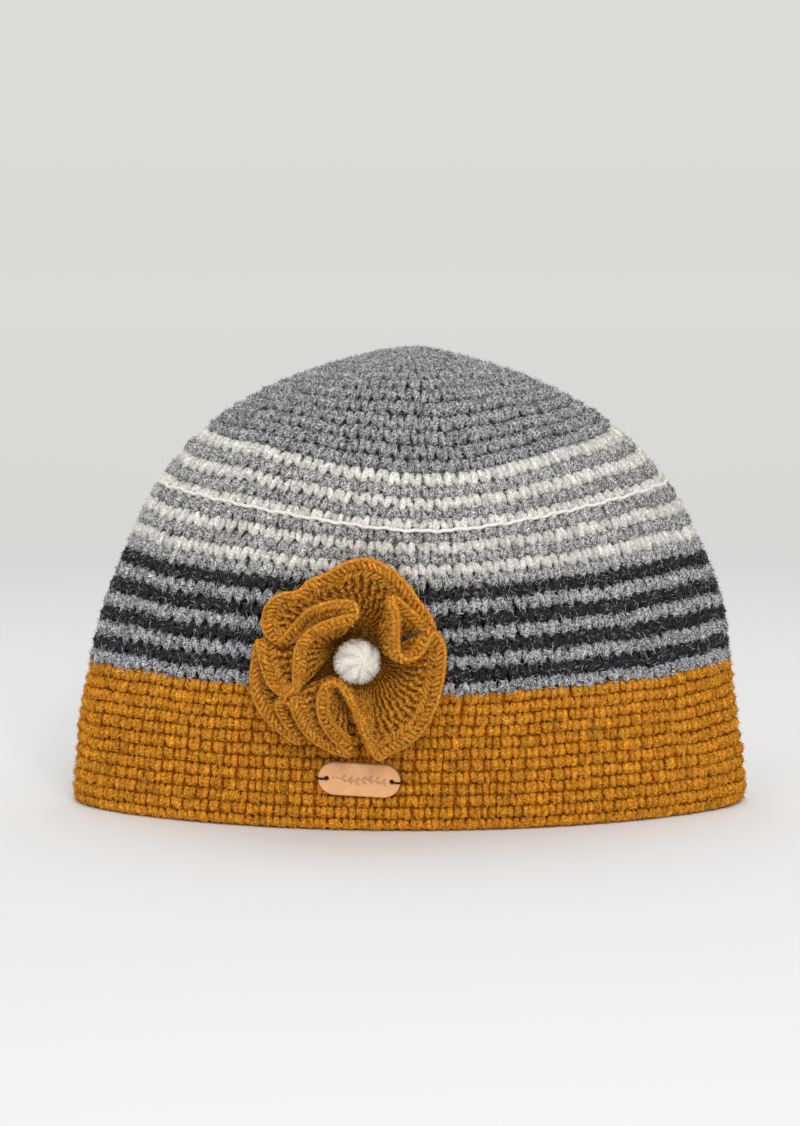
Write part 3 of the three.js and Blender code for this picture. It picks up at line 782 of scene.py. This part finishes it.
def flower_ruffle(at):
    """The knitted strip in its folds, with its ribs, and the length of its edge."""
    samples = RIBS * RIB_SAMPLES
    points, length = strip_points(samples, RULING_STEPS)
    normal, _, _ = strip_normals(points)
    t = np.linspace(0, 1, RULING_STEPS + 1)[None]
    i = np.arange(samples)[:, None]
    sway = 0.5 * np.sin(t * 9 + i * 0.021) + 0.3 * np.sin(t * 21 + i * 0.05) + 0.3 * np.sin(t * 40 + i * 0.3)
    phase = i / RIB_SAMPLES + sway * 0.5
    rib = np.cos(phase * FULL_TURN)
    ribbed = RIB_HEIGHT * smoothstep(t, 0.05, 0.5) * (1 - smoothstep(t, 0.86, 0.94)) * rib
    half = STRIP_THICKNESS / 2 - 0.35
    front = points + normal * (half + ribbed)[..., None]
    back = points - normal * (half - ribbed)[..., None]
    body = np.concatenate([front, back[:, ::-1]], 1)
    quads = closed_faces(samples, body.shape[1])[:, ::-1]
    place = np.stack([phase, np.broadcast_to(t * STRIP_WIDTH, phase.shape), np.zeros_like(phase)], -1)
    places = np.concatenate([place, place[:, ::-1] + [0.5, 0, 5]], 1)
    # Painted shade towards the root and in the grooves between the ribs, where the darker groove tone shows
    lit = painted_strip_light(points[:, -1:, 2], t)
    front_shade = lit * smoothstep(rib, -1.0, 0.6)
    back_shade = (lit * smoothstep(-rib, -1.0, 0.6))[:, ::-1]
    shade = np.concatenate([front_shade, back_shade], 1)[..., None]
    groove = np.array(PETAL[FLECK]) * 0.4
    tone = groove + (np.array(PETAL[YARN]) * 0.95 - groove) * shade
    fleck = np.array(PETAL[FLECK]) * (0.4 + 0.6 * shade)
    return mesh_object("flower_ruffle_knit", in_frame(at, body), quads, places, tone, fleck), length


# The chain edge: the thickness of each link's slanted legs, then their places from the edge inwards and
# along the edge, and their heights above the strip's face, in millimetres
LINK_PITCH = 2.05
LINK_LEGS = [
    (0.78, [[0.1, -0.9, -0.1], [0.5, -0.3, 0.5], [1.6, 0.6, 0.62], [2.7, 1.5, 0.3], [3.3, 1.9, -0.5]]),
    (0.66, [[6.0, -0.7, -0.5], [5.4, -0.2, 0.25], [4.4, 0.7, 0.4], [3.5, 1.6, 0.2], [3.0, 2.0, -0.5]]),
]
# Painted shade along each link from end to end, darkest at its ends
LINK_SHADES = [0.2, 0.75, 1.0, 1.0, 0.75, 0.2]


def flower_braid(at, fibres):
    """The chain of slanted legs along both faces of the strip's edge, and its loose fibres."""
    samples, steps = 2400, 48
    points, length = strip_points(samples, steps)
    normal, _, _ = strip_normals(points)
    reach = np.linalg.norm(np.diff(points, axis=1), axis=2).sum(1)
    links = int(length / LINK_PITCH)
    centres, normals, radii = [], [], []
    t = np.linspace(0, 1, len(LINK_SHADES))[None]
    for face_side in (-1, 1):
        for thick, leg in LINK_LEGS:
            controls = np.array(leg) + RNG.normal(0, 0.07, (links, len(leg), 3))
            path = curve_through(controls, len(LINK_SHADES))
            along = (np.arange(links)[:, None] * LINK_PITCH + path[..., 1]) / length * samples
            i = np.round(along).astype(int) % samples
            k = (1 - np.clip(path[..., 0] / reach[i], 0, 0.8)) * steps
            low = np.clip(k.astype(int), 0, steps - 1)
            part = (k - low)[..., None]
            base = points[i, low] * (1 - part) + points[i, low + 1] * part
            face = normal[i, low] * face_side
            centres.append(base + face * (STRIP_THICKNESS / 2 - 0.45 + path[..., 2])[..., None])
            normals.append(face)
            swell = thick * (0.5 + 0.5 * np.sin((t * 0.86 + 0.07) * math.pi))
            radii.append(swell * RNG.normal(1, 0.07, (links, 1)))
    centres, normals, radii = joined(centres, normals, radii)
    local, quads, tris, places, size = strands(centres, normals, radii)
    tone = np.clip(RNG.normal(1.05, 0.09, (len(local), 1)), 0.8, 1.3)
    tones = shaded_tones(np.array(PETAL[YARN]) * tone, np.array(PETAL[FLECK]) * tone, LINK_SHADES, size)
    made = mesh_object("flower_braid", in_frame(at, local), quads, places, *tones, tris)
    strand = RNG.integers(0, len(centres), fibres)
    turned = normals @ np.stack(at[1:])
    colour = petal_fibres(fibres)
    return made, strand_pile("flower_braid_pile", in_frame(at, centres), turned, radii, strand, colour)


def flower_rim(at):
    """The strand that runs round the strip's edge."""
    samples = 1300
    points, length = strip_points(samples, 24)
    _, along, outwards = strip_normals(points)
    outwards = outwards[:, -1]
    side = unit(np.cross(along[:, -1], outwards))
    run = np.arange(samples) / samples * length
    wide = 0.92 + 0.07 * np.sin(run / LINK_PITCH * FULL_TURN)
    turn = np.stack(at[1:])
    return closed_strand(
        "flower_rim", in_frame(at, points[:, -1] + outwards * 0.15),
        (side * wide[:, None]) @ turn, (outwards * 0.75) @ turn,
        run * YARN_RUN, run * YARN_TWIST, PETAL[YARN], PETAL[FLECK],
    )


# The flower's long and short loose fibres: how long they are and how wide, in millimetres
FLOWER_FUZZ_LENGTHS = (0.8, 3.2)
FLOWER_FUZZ_WIDTH = 0.08
FLOWER_PILE_LENGTHS = (0.5, 1.9)
FLOWER_PILE_WIDTH = 0.2


def flower_fuzz(at, count):
    """Long loose fibres and short ones on both faces of the strip."""
    samples, steps = 1200, 20
    points, _ = strip_points(samples, steps)
    normal, _, outwards = strip_normals(points)
    turn = np.stack(at[1:])
    made = []
    for name, amount in (("flower_fuzz", count), ("flower_pile", count * 3)):
        i = RNG.integers(0, samples, amount)
        k = np.clip(RNG.normal(steps * 0.7, steps * 0.3, amount).astype(int), 2, steps)
        face = normal[i, k] * RNG.choice([-1, 1], (amount, 1))
        start = in_frame(at, points[i, k] + face * (STRIP_THICKNESS / 2 - 0.1))
        face = face @ turn
        # Painted shade on the fibres towards the strip's root, as on the strip
        colour = petal_fibres(amount) * painted_strip_light(points[i, -1, 2], k / steps)[:, None]
        if name == "flower_pile":
            lengths = RNG.uniform(*FLOWER_PILE_LENGTHS, amount)
            made.append(pile_mesh(name, start, face, lengths, FLOWER_PILE_WIDTH, colour))
        else:
            loose = unit(RNG.normal(0, 1, (amount, 3)) + (outwards[i, k] @ turn) * 0.6)
            rise = np.abs(RNG.normal(0.3, 0.4, amount))
            lengths = RNG.uniform(*FLOWER_FUZZ_LENGTHS, amount)
            fibres = long_fibres(name, start, loose, face, lengths, FLOWER_FUZZ_WIDTH, colour, rise)
            made.append(fibres)
    return made


# The gathered middle: its radius, the height of its edge, and how many gathers it has and how high
HUB_RADIUS = 12.0
HUB_EDGE = 1.0
GATHERS = 24
GATHER_HEIGHT = 0.35


def flower_hub(at, count):
    """The gathered middle under the ball, and its loose fibres."""
    rings, columns = 10, 96
    t = np.linspace(0, 1, rings)[:, None]
    angle = even_angles(columns)[None]
    radius = HUB_RADIUS * (1 - t) + 0.01
    dome = HUB_EDGE + (HUB_THICKNESS - HUB_EDGE) * np.sqrt(np.clip(1 - (1 - t) ** 2, 0, 1))
    height = dome + GATHER_HEIGHT * np.cos(angle * GATHERS) * (1 - t)
    points = around(radius, angle, height)
    # Painted shade: the middle takes the petal wool's dark shade colour, for the crevices under the ball
    tone = np.array(PETAL[SHADE])
    quads = grid_faces(rings, columns, True)
    made = mesh_object("flower_hub", in_frame(at, points), quads, points, tone, tone * 0.6)
    ring = RNG.integers(0, rings - 2, count)
    start = in_frame(at, points[ring, RNG.integers(0, columns, count)])
    face = np.broadcast_to(at[3], start.shape)
    lengths = RNG.uniform(0.8, 2.6, count)
    # Painted shade: the middle's fibres are painted darker too
    return made, pile_mesh("flower_hub_pile", start, face, lengths, 0.22, petal_fibres(count) * 0.45)


# Where the ball's wool whirls together, a little right of the front
WHIRL = unit(np.array([0.34, -0.93, 0.12]))
WHIRL_CREASES = 7
WHIRL_TWIST = 2.6
BALL_SHAPE = np.array([1, 1, 0.95])
# The ball's lumps: how many times smaller each kind is than the first, and how fine it is
BALL_LUMPS = ((1, 3.0), (1, 4.0), (2, 7.0), (2, 8.0), (3, 14.0), (3, 15.0))


def whirl_crease(direction, lumps):
    """How deep the whirl's creases are, from 0 to 1, in some directions from the ball's centre."""
    right = unit(np.cross(WHIRL, [0, 0, 1]))
    around = np.arctan2(direction @ np.cross(right, WHIRL), direction @ right)
    away = np.arccos(np.clip(direction @ WHIRL, -1, 1))
    crease = (0.5 + 0.5 * np.cos(WHIRL_CREASES * around + WHIRL_TWIST * away + lumps)) ** 3
    return crease * smoothstep(away, 0.1, 0.5) * (1 - smoothstep(away, 1.1, 1.9))


def wool_ball(at):
    """The wool ball with its lumps and creases, and its centre."""
    centre = in_frame(at, np.array([BALL_OFFSET_X, 0, HUB_THICKNESS + PIECE_GAP + BALL_DIAMETER / 2]))
    rows, columns = 41, 72
    v = np.linspace(0.001, math.pi - 0.001, rows)[:, None]
    u = even_angles(columns)[None]
    direction = np.stack([np.sin(v) * np.cos(u), np.sin(v) * np.sin(u), np.cos(v) * np.ones_like(u)], -1)
    lumps = sum(
        np.sin(direction @ RNG.normal(0, frequency, 3) + RNG.uniform(0, 6)) / share
        for share, frequency in BALL_LUMPS
    )
    crease = whirl_crease(direction, lumps)
    radius = BALL_DIAMETER / 2 - 1.0 + 0.4 * lumps - 0.9 * crease
    points = centre + direction * radius[..., None] * BALL_SHAPE
    # Painted shade in the whirl's creases
    tone = BALL_WOOL * (0.92 - 0.4 * crease[..., None])
    quads = grid_faces(rows, columns, True)
    return mesh_object("wool_ball", points, quads, points * 0.9, tone, tone * 0.85), centre


def ball_fibres(centre, count):
    """Fibres wound round the ball along its whirl, and a few that stand off it."""
    normal = unit(RNG.normal(0, 1, (count, 3)))
    away = unit(flattened(normal - WHIRL, normal))
    spin = unit(away + 0.35 * np.cross(normal, away) + np.cross(normal, RNG.normal(0, 0.35, (count, 3))))
    sunk = whirl_crease(normal, 0)[:, None]
    reach = RNG.uniform(0.15, 0.5, count)
    t = np.linspace(-1, 1, 5)[None]
    angle = (t * reach[:, None])[..., None]
    lift = RNG.uniform(-0.75, -0.25, count)[:, None]
    lift = lift + np.where(RNG.random(count) < 0.3, 1.2, 0.2)[:, None] * t**2 - 0.6 * sunk
    path = (normal[:, None] * np.cos(angle) + spin[:, None] * np.sin(angle))
    path = path * (BALL_DIAMETER / 2 + lift)[..., None] * BALL_SHAPE
    side = unit(np.cross(unit(np.gradient(path, axis=1)), unit(path))) * 0.075 * (1.2 - np.abs(t))[..., None]
    # Painted shade on the fibres that lie in the whirl's creases
    colour = np.minimum(BALL_WOOL * RNG.uniform(0.84, 1.1, (count, 1)) * (1 - 0.25 * sunk), 0.98)
    return ribbon_mesh("wool_ball_fibres", centre + path, side, colour, 1.0)


# The tag, and its ornament of leaves on a waving stem: how far apart the leaves are, how far the stem
# sways and how fast, its half length, the place of the dot past each of its ends, and the sizes of a
# leaf and a dot from their middle
LEAF_HALF_LENGTH = 1.15
LEAF_HALF_WIDTH = 0.48
DOT_RADIUS = 0.55
LEAF_PITCH = 2.35
LEAF_SLANT = 0.75
STEM_SWAY = 0.5
STEM_WAVES = 0.55
STEM_REACH = 8.2
DOT_X = 9.2
PRESS_DEPTH = 0.22
TAG_EDGE_ROUND = 0.55


def stem_height(x):
    """How high the ornament's stem is at a place along the tag."""
    return STEM_SWAY * np.sin(x * STEM_WAVES)


def ornament(x, y):
    """How deep the pressed ornament is, from 0 to 1: a row of leaves on a stem with a dot at each end."""
    depth = smoothstep(-np.abs(y - stem_height(x)), -0.34, -0.16) * (np.abs(x) < STEM_REACH)
    for leaf_x in np.arange(-3, 4) * LEAF_PITCH:
        for side in (-1, 1):
            px = x - leaf_x - 0.9
            py = (y - stem_height(leaf_x)) * side
            along = px * math.cos(LEAF_SLANT) + py * math.sin(LEAF_SLANT) - 1.1
            across = -px * math.sin(LEAF_SLANT) + py * math.cos(LEAF_SLANT)
            leaf = 1 - (along / LEAF_HALF_LENGTH) ** 2 - (across / LEAF_HALF_WIDTH) ** 2
            depth = np.maximum(depth, smoothstep(leaf, 0.0, 0.35))
    for dot_x in (-DOT_X, DOT_X):
        dot = 1 - np.hypot(x - dot_x, y - stem_height(dot_x)) / DOT_RADIUS
        depth = np.maximum(depth, smoothstep(dot, 0.0, 0.4))
    return depth


def tag_frame():
    """The frame of the tag on the cap's front, tilted as it is sewn on."""
    origin, right, upwards, outwards = front_frame(TAG_OFFSET_X, TAG_OFFSET_Z)
    turned = right * math.cos(TAG_TILT) + upwards * math.sin(TAG_TILT)
    return origin, turned, np.cross(outwards, turned), outwards


def leather_tag(at):
    """The tag. Each column of its grid runs between its two long edges, so it follows the round ends."""
    flat = (TAG_LENGTH - TAG_HEIGHT) / 2
    rows, columns = 41, 181
    s = np.linspace(-1, 1, columns)[:, None]
    x = np.sign(s) * (1 - (1 - np.abs(s)) ** 1.5) * (TAG_LENGTH / 2 - 0.001)
    past_flat = np.maximum(np.abs(x) - flat, 0)
    y = np.linspace(-1, 1, rows)[None] * np.sqrt(np.maximum((TAG_HEIGHT / 2) ** 2 - past_flat**2, 1e-6))
    x = np.broadcast_to(x, y.shape)
    edge = TAG_HEIGHT / 2 - np.hypot(past_flat, y)
    inside = np.clip(edge / TAG_EDGE_ROUND, 0, 1)
    press = ornament(x, y)
    hole = np.minimum(np.hypot(x - HOLE_X, y), np.hypot(x + HOLE_X, y))
    sunk = 1 - smoothstep(hole, HOLE_DIAMETER / 2 - 0.12, HOLE_DIAMETER / 2 + 0.25)
    top = PIECE_GAP + TAG_THICKNESS - TAG_EDGE_ROUND * (1 - np.sqrt(1 - (1 - inside) ** 2))
    top = top - PRESS_DEPTH * press - 1.3 * sunk
    upper = np.stack([x, y, top], -1).reshape(-1, 3)
    lower = np.stack([x, y, np.minimum(PIECE_GAP, top - 0.05)], -1).reshape(-1, 3)
    upper_faces = grid_faces(columns, rows, False)
    count = rows * columns
    border = np.concatenate([
        np.arange(rows),
        np.arange(1, columns) * rows + rows - 1,
        (columns - 1) * rows + np.arange(rows - 2, -1, -1),
        np.arange(columns - 2, 0, -1) * rows,
    ])
    after = np.roll(border, -1)
    walls = np.stack([border, after, after + count, border + count], -1)
    quads = np.concatenate([upper_faces[:, ::-1], upper_faces + count, walls])
    points = np.concatenate([upper, lower])
    # Painted shade in the stitch holes and on the underside; the tag is also darker towards its rim and in
    # the pressed ornament, and the darker parts are a little bluer
    rimmed = 1 - 0.25 * (1 - smoothstep(edge, 0.0, 0.5))
    shade = (rimmed * (1 - 0.34 * press) * (1 - 0.9 * sunk)).reshape(-1, 1)
    shades = np.concatenate([shade, np.full((count, 1), 0.7)])
    tone = LEATHER * shades
    tone[:, 2] *= 1 + 0.15 * (1 - shades[:, 0])
    return mesh_object("leather_tag_face", in_frame(at, points), quads, points, tone)


def tag_threads(at):
    """The dark stitch at each end of the tag, two plies that twist round each other."""
    samples = 40
    radius = THREAD_DIAMETER / 2
    over = PIECE_GAP + TAG_THICKNESS + radius * 0.8
    end = TAG_LENGTH / 2
    twist = np.linspace(0, 9 * math.pi, samples) + np.array([[0], [math.pi]])
    made = []
    for side, name in ((-1, "tag_thread_left_plies"), (1, "tag_thread_right_plies")):
        plies = np.repeat(curve_through(np.array([[
            [side * HOLE_X, 0, 0.9], [side * HOLE_X, 0, over - 0.5], [side * (HOLE_X + 0.5), 0.05, over],
            [side * (end - 0.5), -0.05, over], [side * (end + radius), 0, over - 0.7],
            [side * (end + radius + 0.1), 0, 0.2],
        ]]), samples), 2, 0)
        plies[..., 1] += 0.17 * np.cos(twist)
        plies[..., 2] += 0.17 * np.sin(twist)
        normals = np.broadcast_to([0.0, 1.0, 0.001], plies.shape)
        points, quads, tris, places, _ = strands(plies, normals, np.full(twist.shape, radius * 0.62), 8)
        sewn = in_frame(at, points)
        made.append(mesh_object(name, sewn, quads, places, THREAD_TONE, THREAD_TONE * 2, tris))
    return made


# Materials

def new_material(name):
    """A material, with its tree and its shader."""
    material = bpy.data.materials.new(name)
    material.use_nodes = True
    return material, material.node_tree, material.node_tree.nodes["Principled BSDF"]


def node(tree, kind, **inputs):
    """A node whose inputs, named with _ for a space, are given a value or linked to an output."""
    made = tree.nodes.new(kind)
    for key, value in inputs.items():
        socket = made.inputs[key.replace("_", " ")]
        if isinstance(value, bpy.types.NodeSocket):
            tree.links.new(value, socket)
        else:
            socket.default_value = value
    return made


def attribute(tree, name):
    """The node that reads a tone or the places along the yarn from the mesh."""
    made = tree.nodes.new("ShaderNodeAttribute")
    made.attribute_name = name
    return made


def noise(tree, place, scale, detail, roughness):
    """A noise, from 0 to 1."""
    made = node(tree, "ShaderNodeTexNoise", Vector=place, Scale=scale, Detail=detail, Roughness=roughness)
    return made.outputs["Fac"]


def ranged(tree, value, low, high, to_low=0.0, to_high=1.0):
    """A value moved from one range to another, and held within it."""
    made = node(tree, "ShaderNodeMapRange", Value=value, From_Min=low, From_Max=high,
                To_Min=to_low, To_Max=to_high)
    return made.outputs["Result"]


def scaled(tree, colour, factor):
    """A colour times a factor."""
    made = tree.nodes.new("ShaderNodeVectorMath")
    made.operation = "SCALE"
    tree.links.new(colour, made.inputs[0])
    tree.links.new(factor, made.inputs["Scale"])
    return made.outputs["Vector"]


def calculated(tree, operation, first, second=None):
    """A sum, product or the like of outputs and numbers."""
    made = tree.nodes.new("ShaderNodeMath")
    made.operation = operation
    for index, value in enumerate((first, second)):
        if isinstance(value, bpy.types.NodeSocket):
            tree.links.new(value, made.inputs[index])
        elif value is not None:
            made.inputs[index].default_value = value
    return made.outputs[0]


def raise_surface(tree, shader, height, strength, distance):
    """Bumps the shader's surface, over the bumps that it has."""
    made = node(tree, "ShaderNodeBump", Height=height, Strength=strength, Distance=distance)
    for before in shader.inputs["Normal"].links:
        tree.links.new(before.from_socket, made.inputs["Normal"])
    tree.links.new(made.outputs["Normal"], shader.inputs["Normal"])


def wool_material(name, grain=3.0, contrast=0.3, bump=0.6, colour_noise=0.35):
    """Spun wool: the yarn's tone mixed with that of its fibres, dusted with specks."""
    material, tree, shader = new_material(name)
    yarn = attribute(tree, "yarn").outputs["Vector"]
    spun = ranged(tree, noise(tree, yarn, grain, 3.0, 0.6), 0.5 - contrast * 0.35, 0.5 + contrast * 0.35)
    blend = tree.nodes.new("ShaderNodeMix")
    blend.data_type = "RGBA"
    tree.links.new(spun, blend.inputs["Factor"])
    tree.links.new(attribute(tree, "fleck").outputs["Color"], blend.inputs["A"])
    tree.links.new(attribute(tree, "wool").outputs["Color"], blend.inputs["B"])
    place = tree.nodes.new("ShaderNodeTexCoord").outputs["Object"]
    specks = ranged(tree, noise(tree, place, 1300.0, 2.0, 0.7), 0.3, 0.7, 1 - colour_noise, 1 + colour_noise)
    tree.links.new(scaled(tree, blend.outputs["Result"], specks), shader.inputs["Base Color"])
    shader.inputs["Roughness"].default_value = 0.95
    shader.inputs["Specular IOR Level"].default_value = 0.06
    raise_surface(tree, shader, noise(tree, yarn, 7.0, 3.0, 0.65), bump, 0.0004)
    return material


def knit_material(name):
    """Wool whose places hold the rib's number, the run along it and the face, with rows of small loops,
    bumped, with painted shade in their grooves and painted light on their tops.
    """
    material = wool_material(name, grain=1.0, contrast=0.45, bump=0.3)
    tree = material.node_tree
    shader = tree.nodes["Principled BSDF"]
    parts = node(tree, "ShaderNodeSeparateXYZ", Vector=attribute(tree, "yarn").outputs["Vector"])
    part = calculated(tree, "FRACT", calculated(tree, "ADD", parts.outputs["X"], 0.5))
    across = calculated(tree, "ABSOLUTE", calculated(tree, "SUBTRACT", part, 0.5))
    run = calculated(tree, "MULTIPLY", parts.outputs["Y"], 0.45)
    slanted = calculated(tree, "SUBTRACT", run, calculated(tree, "MULTIPLY", across, 0.8))
    wave = calculated(tree, "COSINE", calculated(tree, "MULTIPLY", slanted, FULL_TURN))
    low_wave = calculated(tree, "MULTIPLY", wave, 0.35)
    height = calculated(tree, "SUBTRACT", low_wave, calculated(tree, "MULTIPLY", across, 1.2))
    # Painted shade in the loops' grooves and painted light on their tops, from the same height as their bumps
    before = shader.inputs["Base Color"].links[0].from_socket
    shaded = scaled(tree, before, ranged(tree, height, -1.0, 0.45, 0.7, 1.1))
    tree.links.new(shaded, shader.inputs["Base Color"])
    raise_surface(tree, shader, height, 0.8, 0.0005)
    return material


def leather_material(name):
    """Smooth natural leather with a fine grain."""
    material, tree, shader = new_material(name)
    place = attribute(tree, "yarn").outputs["Vector"]
    mottle = ranged(tree, noise(tree, place, 0.35, 4.0, 0.6), 0.3, 0.7, 0.9, 1.08)
    dyed = scaled(tree, attribute(tree, "wool").outputs["Color"], mottle)
    tree.links.new(dyed, shader.inputs["Base Color"])
    shader.inputs["Roughness"].default_value = 0.55
    raise_surface(tree, shader, noise(tree, place, 6.0, 4.0, 0.7), 0.25, 0.0002)
    return material


# The dressed cap

def dress(made, material, material_slot, *nodes):
    """Gives a piece its material, and hides the solids that it stands for. Its slot is not used."""
    made.data.materials.append(material)
    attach(made, "root")
    if nodes:
        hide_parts(*nodes)
    return made


wool = wool_material("wool_yarn")
white_wool = wool_material("wool_white", contrast=0.8, bump=0.3, colour_noise=0.1)
fuzz = wool_material("wool_fuzz", bump=0.0, colour_noise=0.05)
knit = knit_material("wool_knit")
leather = leather_material("tag_leather")

# Name, first round and the one after the last, loose fibres, slot, and the solids that it stands for
for name, low_row, high_row, fibres, slot, stands_for in (
    ("band_stitches", 0, BAND_ROUNDS, 56000, "mustard_wool", ["band"]),
    ("charcoal_stitches", BAND_ROUNDS, CHARCOAL_END, 48000, "striped_wool", ["crown"]),
    ("pale_stitches", CHARCOAL_END, STRIPE_END, 48000, "striped_wool", []),
    ("crown_stitches", STRIPE_END, ROUNDS, 40000, "striped_wool", []),
):
    stitches, pile = stitch_rounds(name, range(low_row, high_row), fibres)
    dress(stitches, wool, slot, *stands_for)
    dress(pile, fuzz, slot)
dress(cap_lining(), wool, "striped_wool")
dress(rim_edge(), wool, "mustard_wool")
dress(pale_line(), white_wool, "striped_wool")
# Name, lowest and highest round, fibres, their length and their slot
for name, low_row, high_row, count, length, slot in (
    ("band_fuzz", 0, BAND_ROUNDS, 3500, 2.6, "mustard_wool"),
    ("charcoal_fuzz", BAND_ROUNDS, CHARCOAL_END + 1, 5000, 3.2, "striped_wool"),
    ("pale_fuzz", CHARCOAL_END, STRIPE_END, 3500, 3.2, "striped_wool"),
    ("crown_fuzz", STRIPE_END, ROUNDS - 0.4, 4500, 3.2, "striped_wool"),
):
    dress(cap_fuzz(name, low_row, high_row, count, length), fuzz, slot)

flower_at = front_frame(FLOWER_OFFSET_X, BAND_HEIGHT + FLOWER_ABOVE_BAND)
ruffle, edge_length = flower_ruffle(flower_at)
dress(ruffle, knit, "mustard_wool", "flower_ruffle")
braid, braid_pile = flower_braid(flower_at, fibres=12000)
dress(braid, wool, "mustard_wool")
dress(braid_pile, fuzz, "mustard_wool")
edge_strand = dress(flower_rim(flower_at), wool, "mustard_wool")
ruffle_fuzz, ruffle_pile = flower_fuzz(flower_at, count=4000)
dress(ruffle_fuzz, fuzz, "mustard_wool")
dress(ruffle_pile, fuzz, "mustard_wool")
hub, hub_pile = flower_hub(flower_at, count=1500)
dress(hub, wool, "mustard_wool")
dress(hub_pile, fuzz, "mustard_wool")
ball, ball_centre = wool_ball(flower_at)
dress(ball, white_wool, "white_wool", "flower_centre")
dress(ball_fibres(ball_centre, count=3200), fuzz, "white_wool")

tag_at = tag_frame()
dress(leather_tag(tag_at), leather, "tan_leather", "leather_tag")
for thread in tag_threads(tag_at):
    dress(thread, wool, "dark_thread", thread.name.replace("_plies", ""))


# Floor, light and camera

# The paper's colour from the front to the back, by the distance behind the cap in metres: painted light and
# shade that stand in for how the studio light falls on the paper
FLOOR_PAINTED_LIGHT = [
    (-1.0, (0.68, 0.68, 0.68)),
    (-0.2, (0.735, 0.735, 0.735)),
    (0.1, (0.805, 0.805, 0.795)),
    (0.3, (0.78, 0.78, 0.77)),
    (0.57, (0.71, 0.705, 0.69)),
    (1.0, (0.78, 0.775, 0.745)),
    (2.0, (0.90, 0.892, 0.86)),
    (5.0, (0.955, 0.945, 0.91)),
]
FLOOR_SIZE = 160


def floor_material():
    """Matt paper whose tone changes from the front to the back, with painted light and shade."""
    material, tree, shader = new_material("floor_paper")
    nearest, farthest = FLOOR_PAINTED_LIGHT[0][0], FLOOR_PAINTED_LIGHT[-1][0]
    place = tree.nodes.new("ShaderNodeTexCoord").outputs["Object"]
    parts = node(tree, "ShaderNodeSeparateXYZ", Vector=place)
    ramp = node(tree, "ShaderNodeValToRGB", Fac=ranged(tree, parts.outputs["Y"], nearest, farthest))
    elements = ramp.color_ramp.elements
    for index, (depth, colour) in enumerate(FLOOR_PAINTED_LIGHT):
        place_on = (depth - nearest) / (farthest - nearest)
        element = elements[index] if index < 2 else elements.new(place_on)
        element.position = place_on
        element.color = (*colour, 1)
    tree.links.new(ramp.outputs["Color"], shader.inputs["Base Color"])
    shader.inputs["Roughness"].default_value = 1.0
    shader.inputs["Specular IOR Level"].default_value = 0.0
    return material


bpy.ops.mesh.primitive_plane_add(size=FLOOR_SIZE, location=(0, 0, 0))
floor = bpy.context.object
floor.name = "floor"
floor.data.materials.append(floor_material())


def aim_at(made, place, target):
    """Puts a light or camera at a place and turns it to a target."""
    bpy.context.scene.collection.objects.link(made)
    made.location = place
    made.rotation_mode = "QUATERNION"
    made.rotation_quaternion = (Vector(target) - Vector(place)).to_track_quat("-Z", "Y")


# Place, target, size in metres and power in watts
LIGHTS = {
    "key_light": ((0.22, -1.3, 0.95), (0, 0, 0.08), 0.6, 11),
    "fill_light": ((-0.9, -1.1, 0.8), (0, 0, 0.08), 1.0, 2.0),
    "top_light": ((0, 0.3, 1.6), (0, 0, 0.1), 1.2, 3),
}
for name, (place, target, size, power) in LIGHTS.items():
    light = bpy.data.lights.new(name, "AREA")
    light.size = size
    light.energy = power
    aim_at(bpy.data.objects.new(name, light), place, target)

WORLD_LIGHT = 0.75
world = bpy.data.worlds.new("studio")
world.use_nodes = True
world.node_tree.nodes["Background"].inputs["Color"].default_value = (1, 1, 1, 1)
world.node_tree.nodes["Background"].inputs["Strength"].default_value = WORLD_LIGHT
bpy.context.scene.world = world
bpy.context.scene.view_settings.view_transform = "Standard"

CAMERA_DISTANCE = 1.4
CAMERA_ELEVATION = math.radians(9)
PIXEL_SIZE = 0.36 * MM
PHOTO_HEIGHT = 1126
SENSOR_WIDTH = 36
AIM_X = -0.00348
AIM_HEIGHT = 0.0877
aim = Vector((AIM_X, CENTRE_Y * MM, AIM_HEIGHT))
back_and_up = Vector((0, -math.cos(CAMERA_ELEVATION), math.sin(CAMERA_ELEVATION)))
camera_data = bpy.data.cameras.new("camera")
camera_data.sensor_width = SENSOR_WIDTH
camera_data.lens = SENSOR_WIDTH * CAMERA_DISTANCE / (PHOTO_HEIGHT * PIXEL_SIZE)
camera = bpy.data.objects.new("camera", camera_data)
aim_at(camera, aim + back_and_up * CAMERA_DISTANCE, aim)
bpy.context.scene.camera = camera
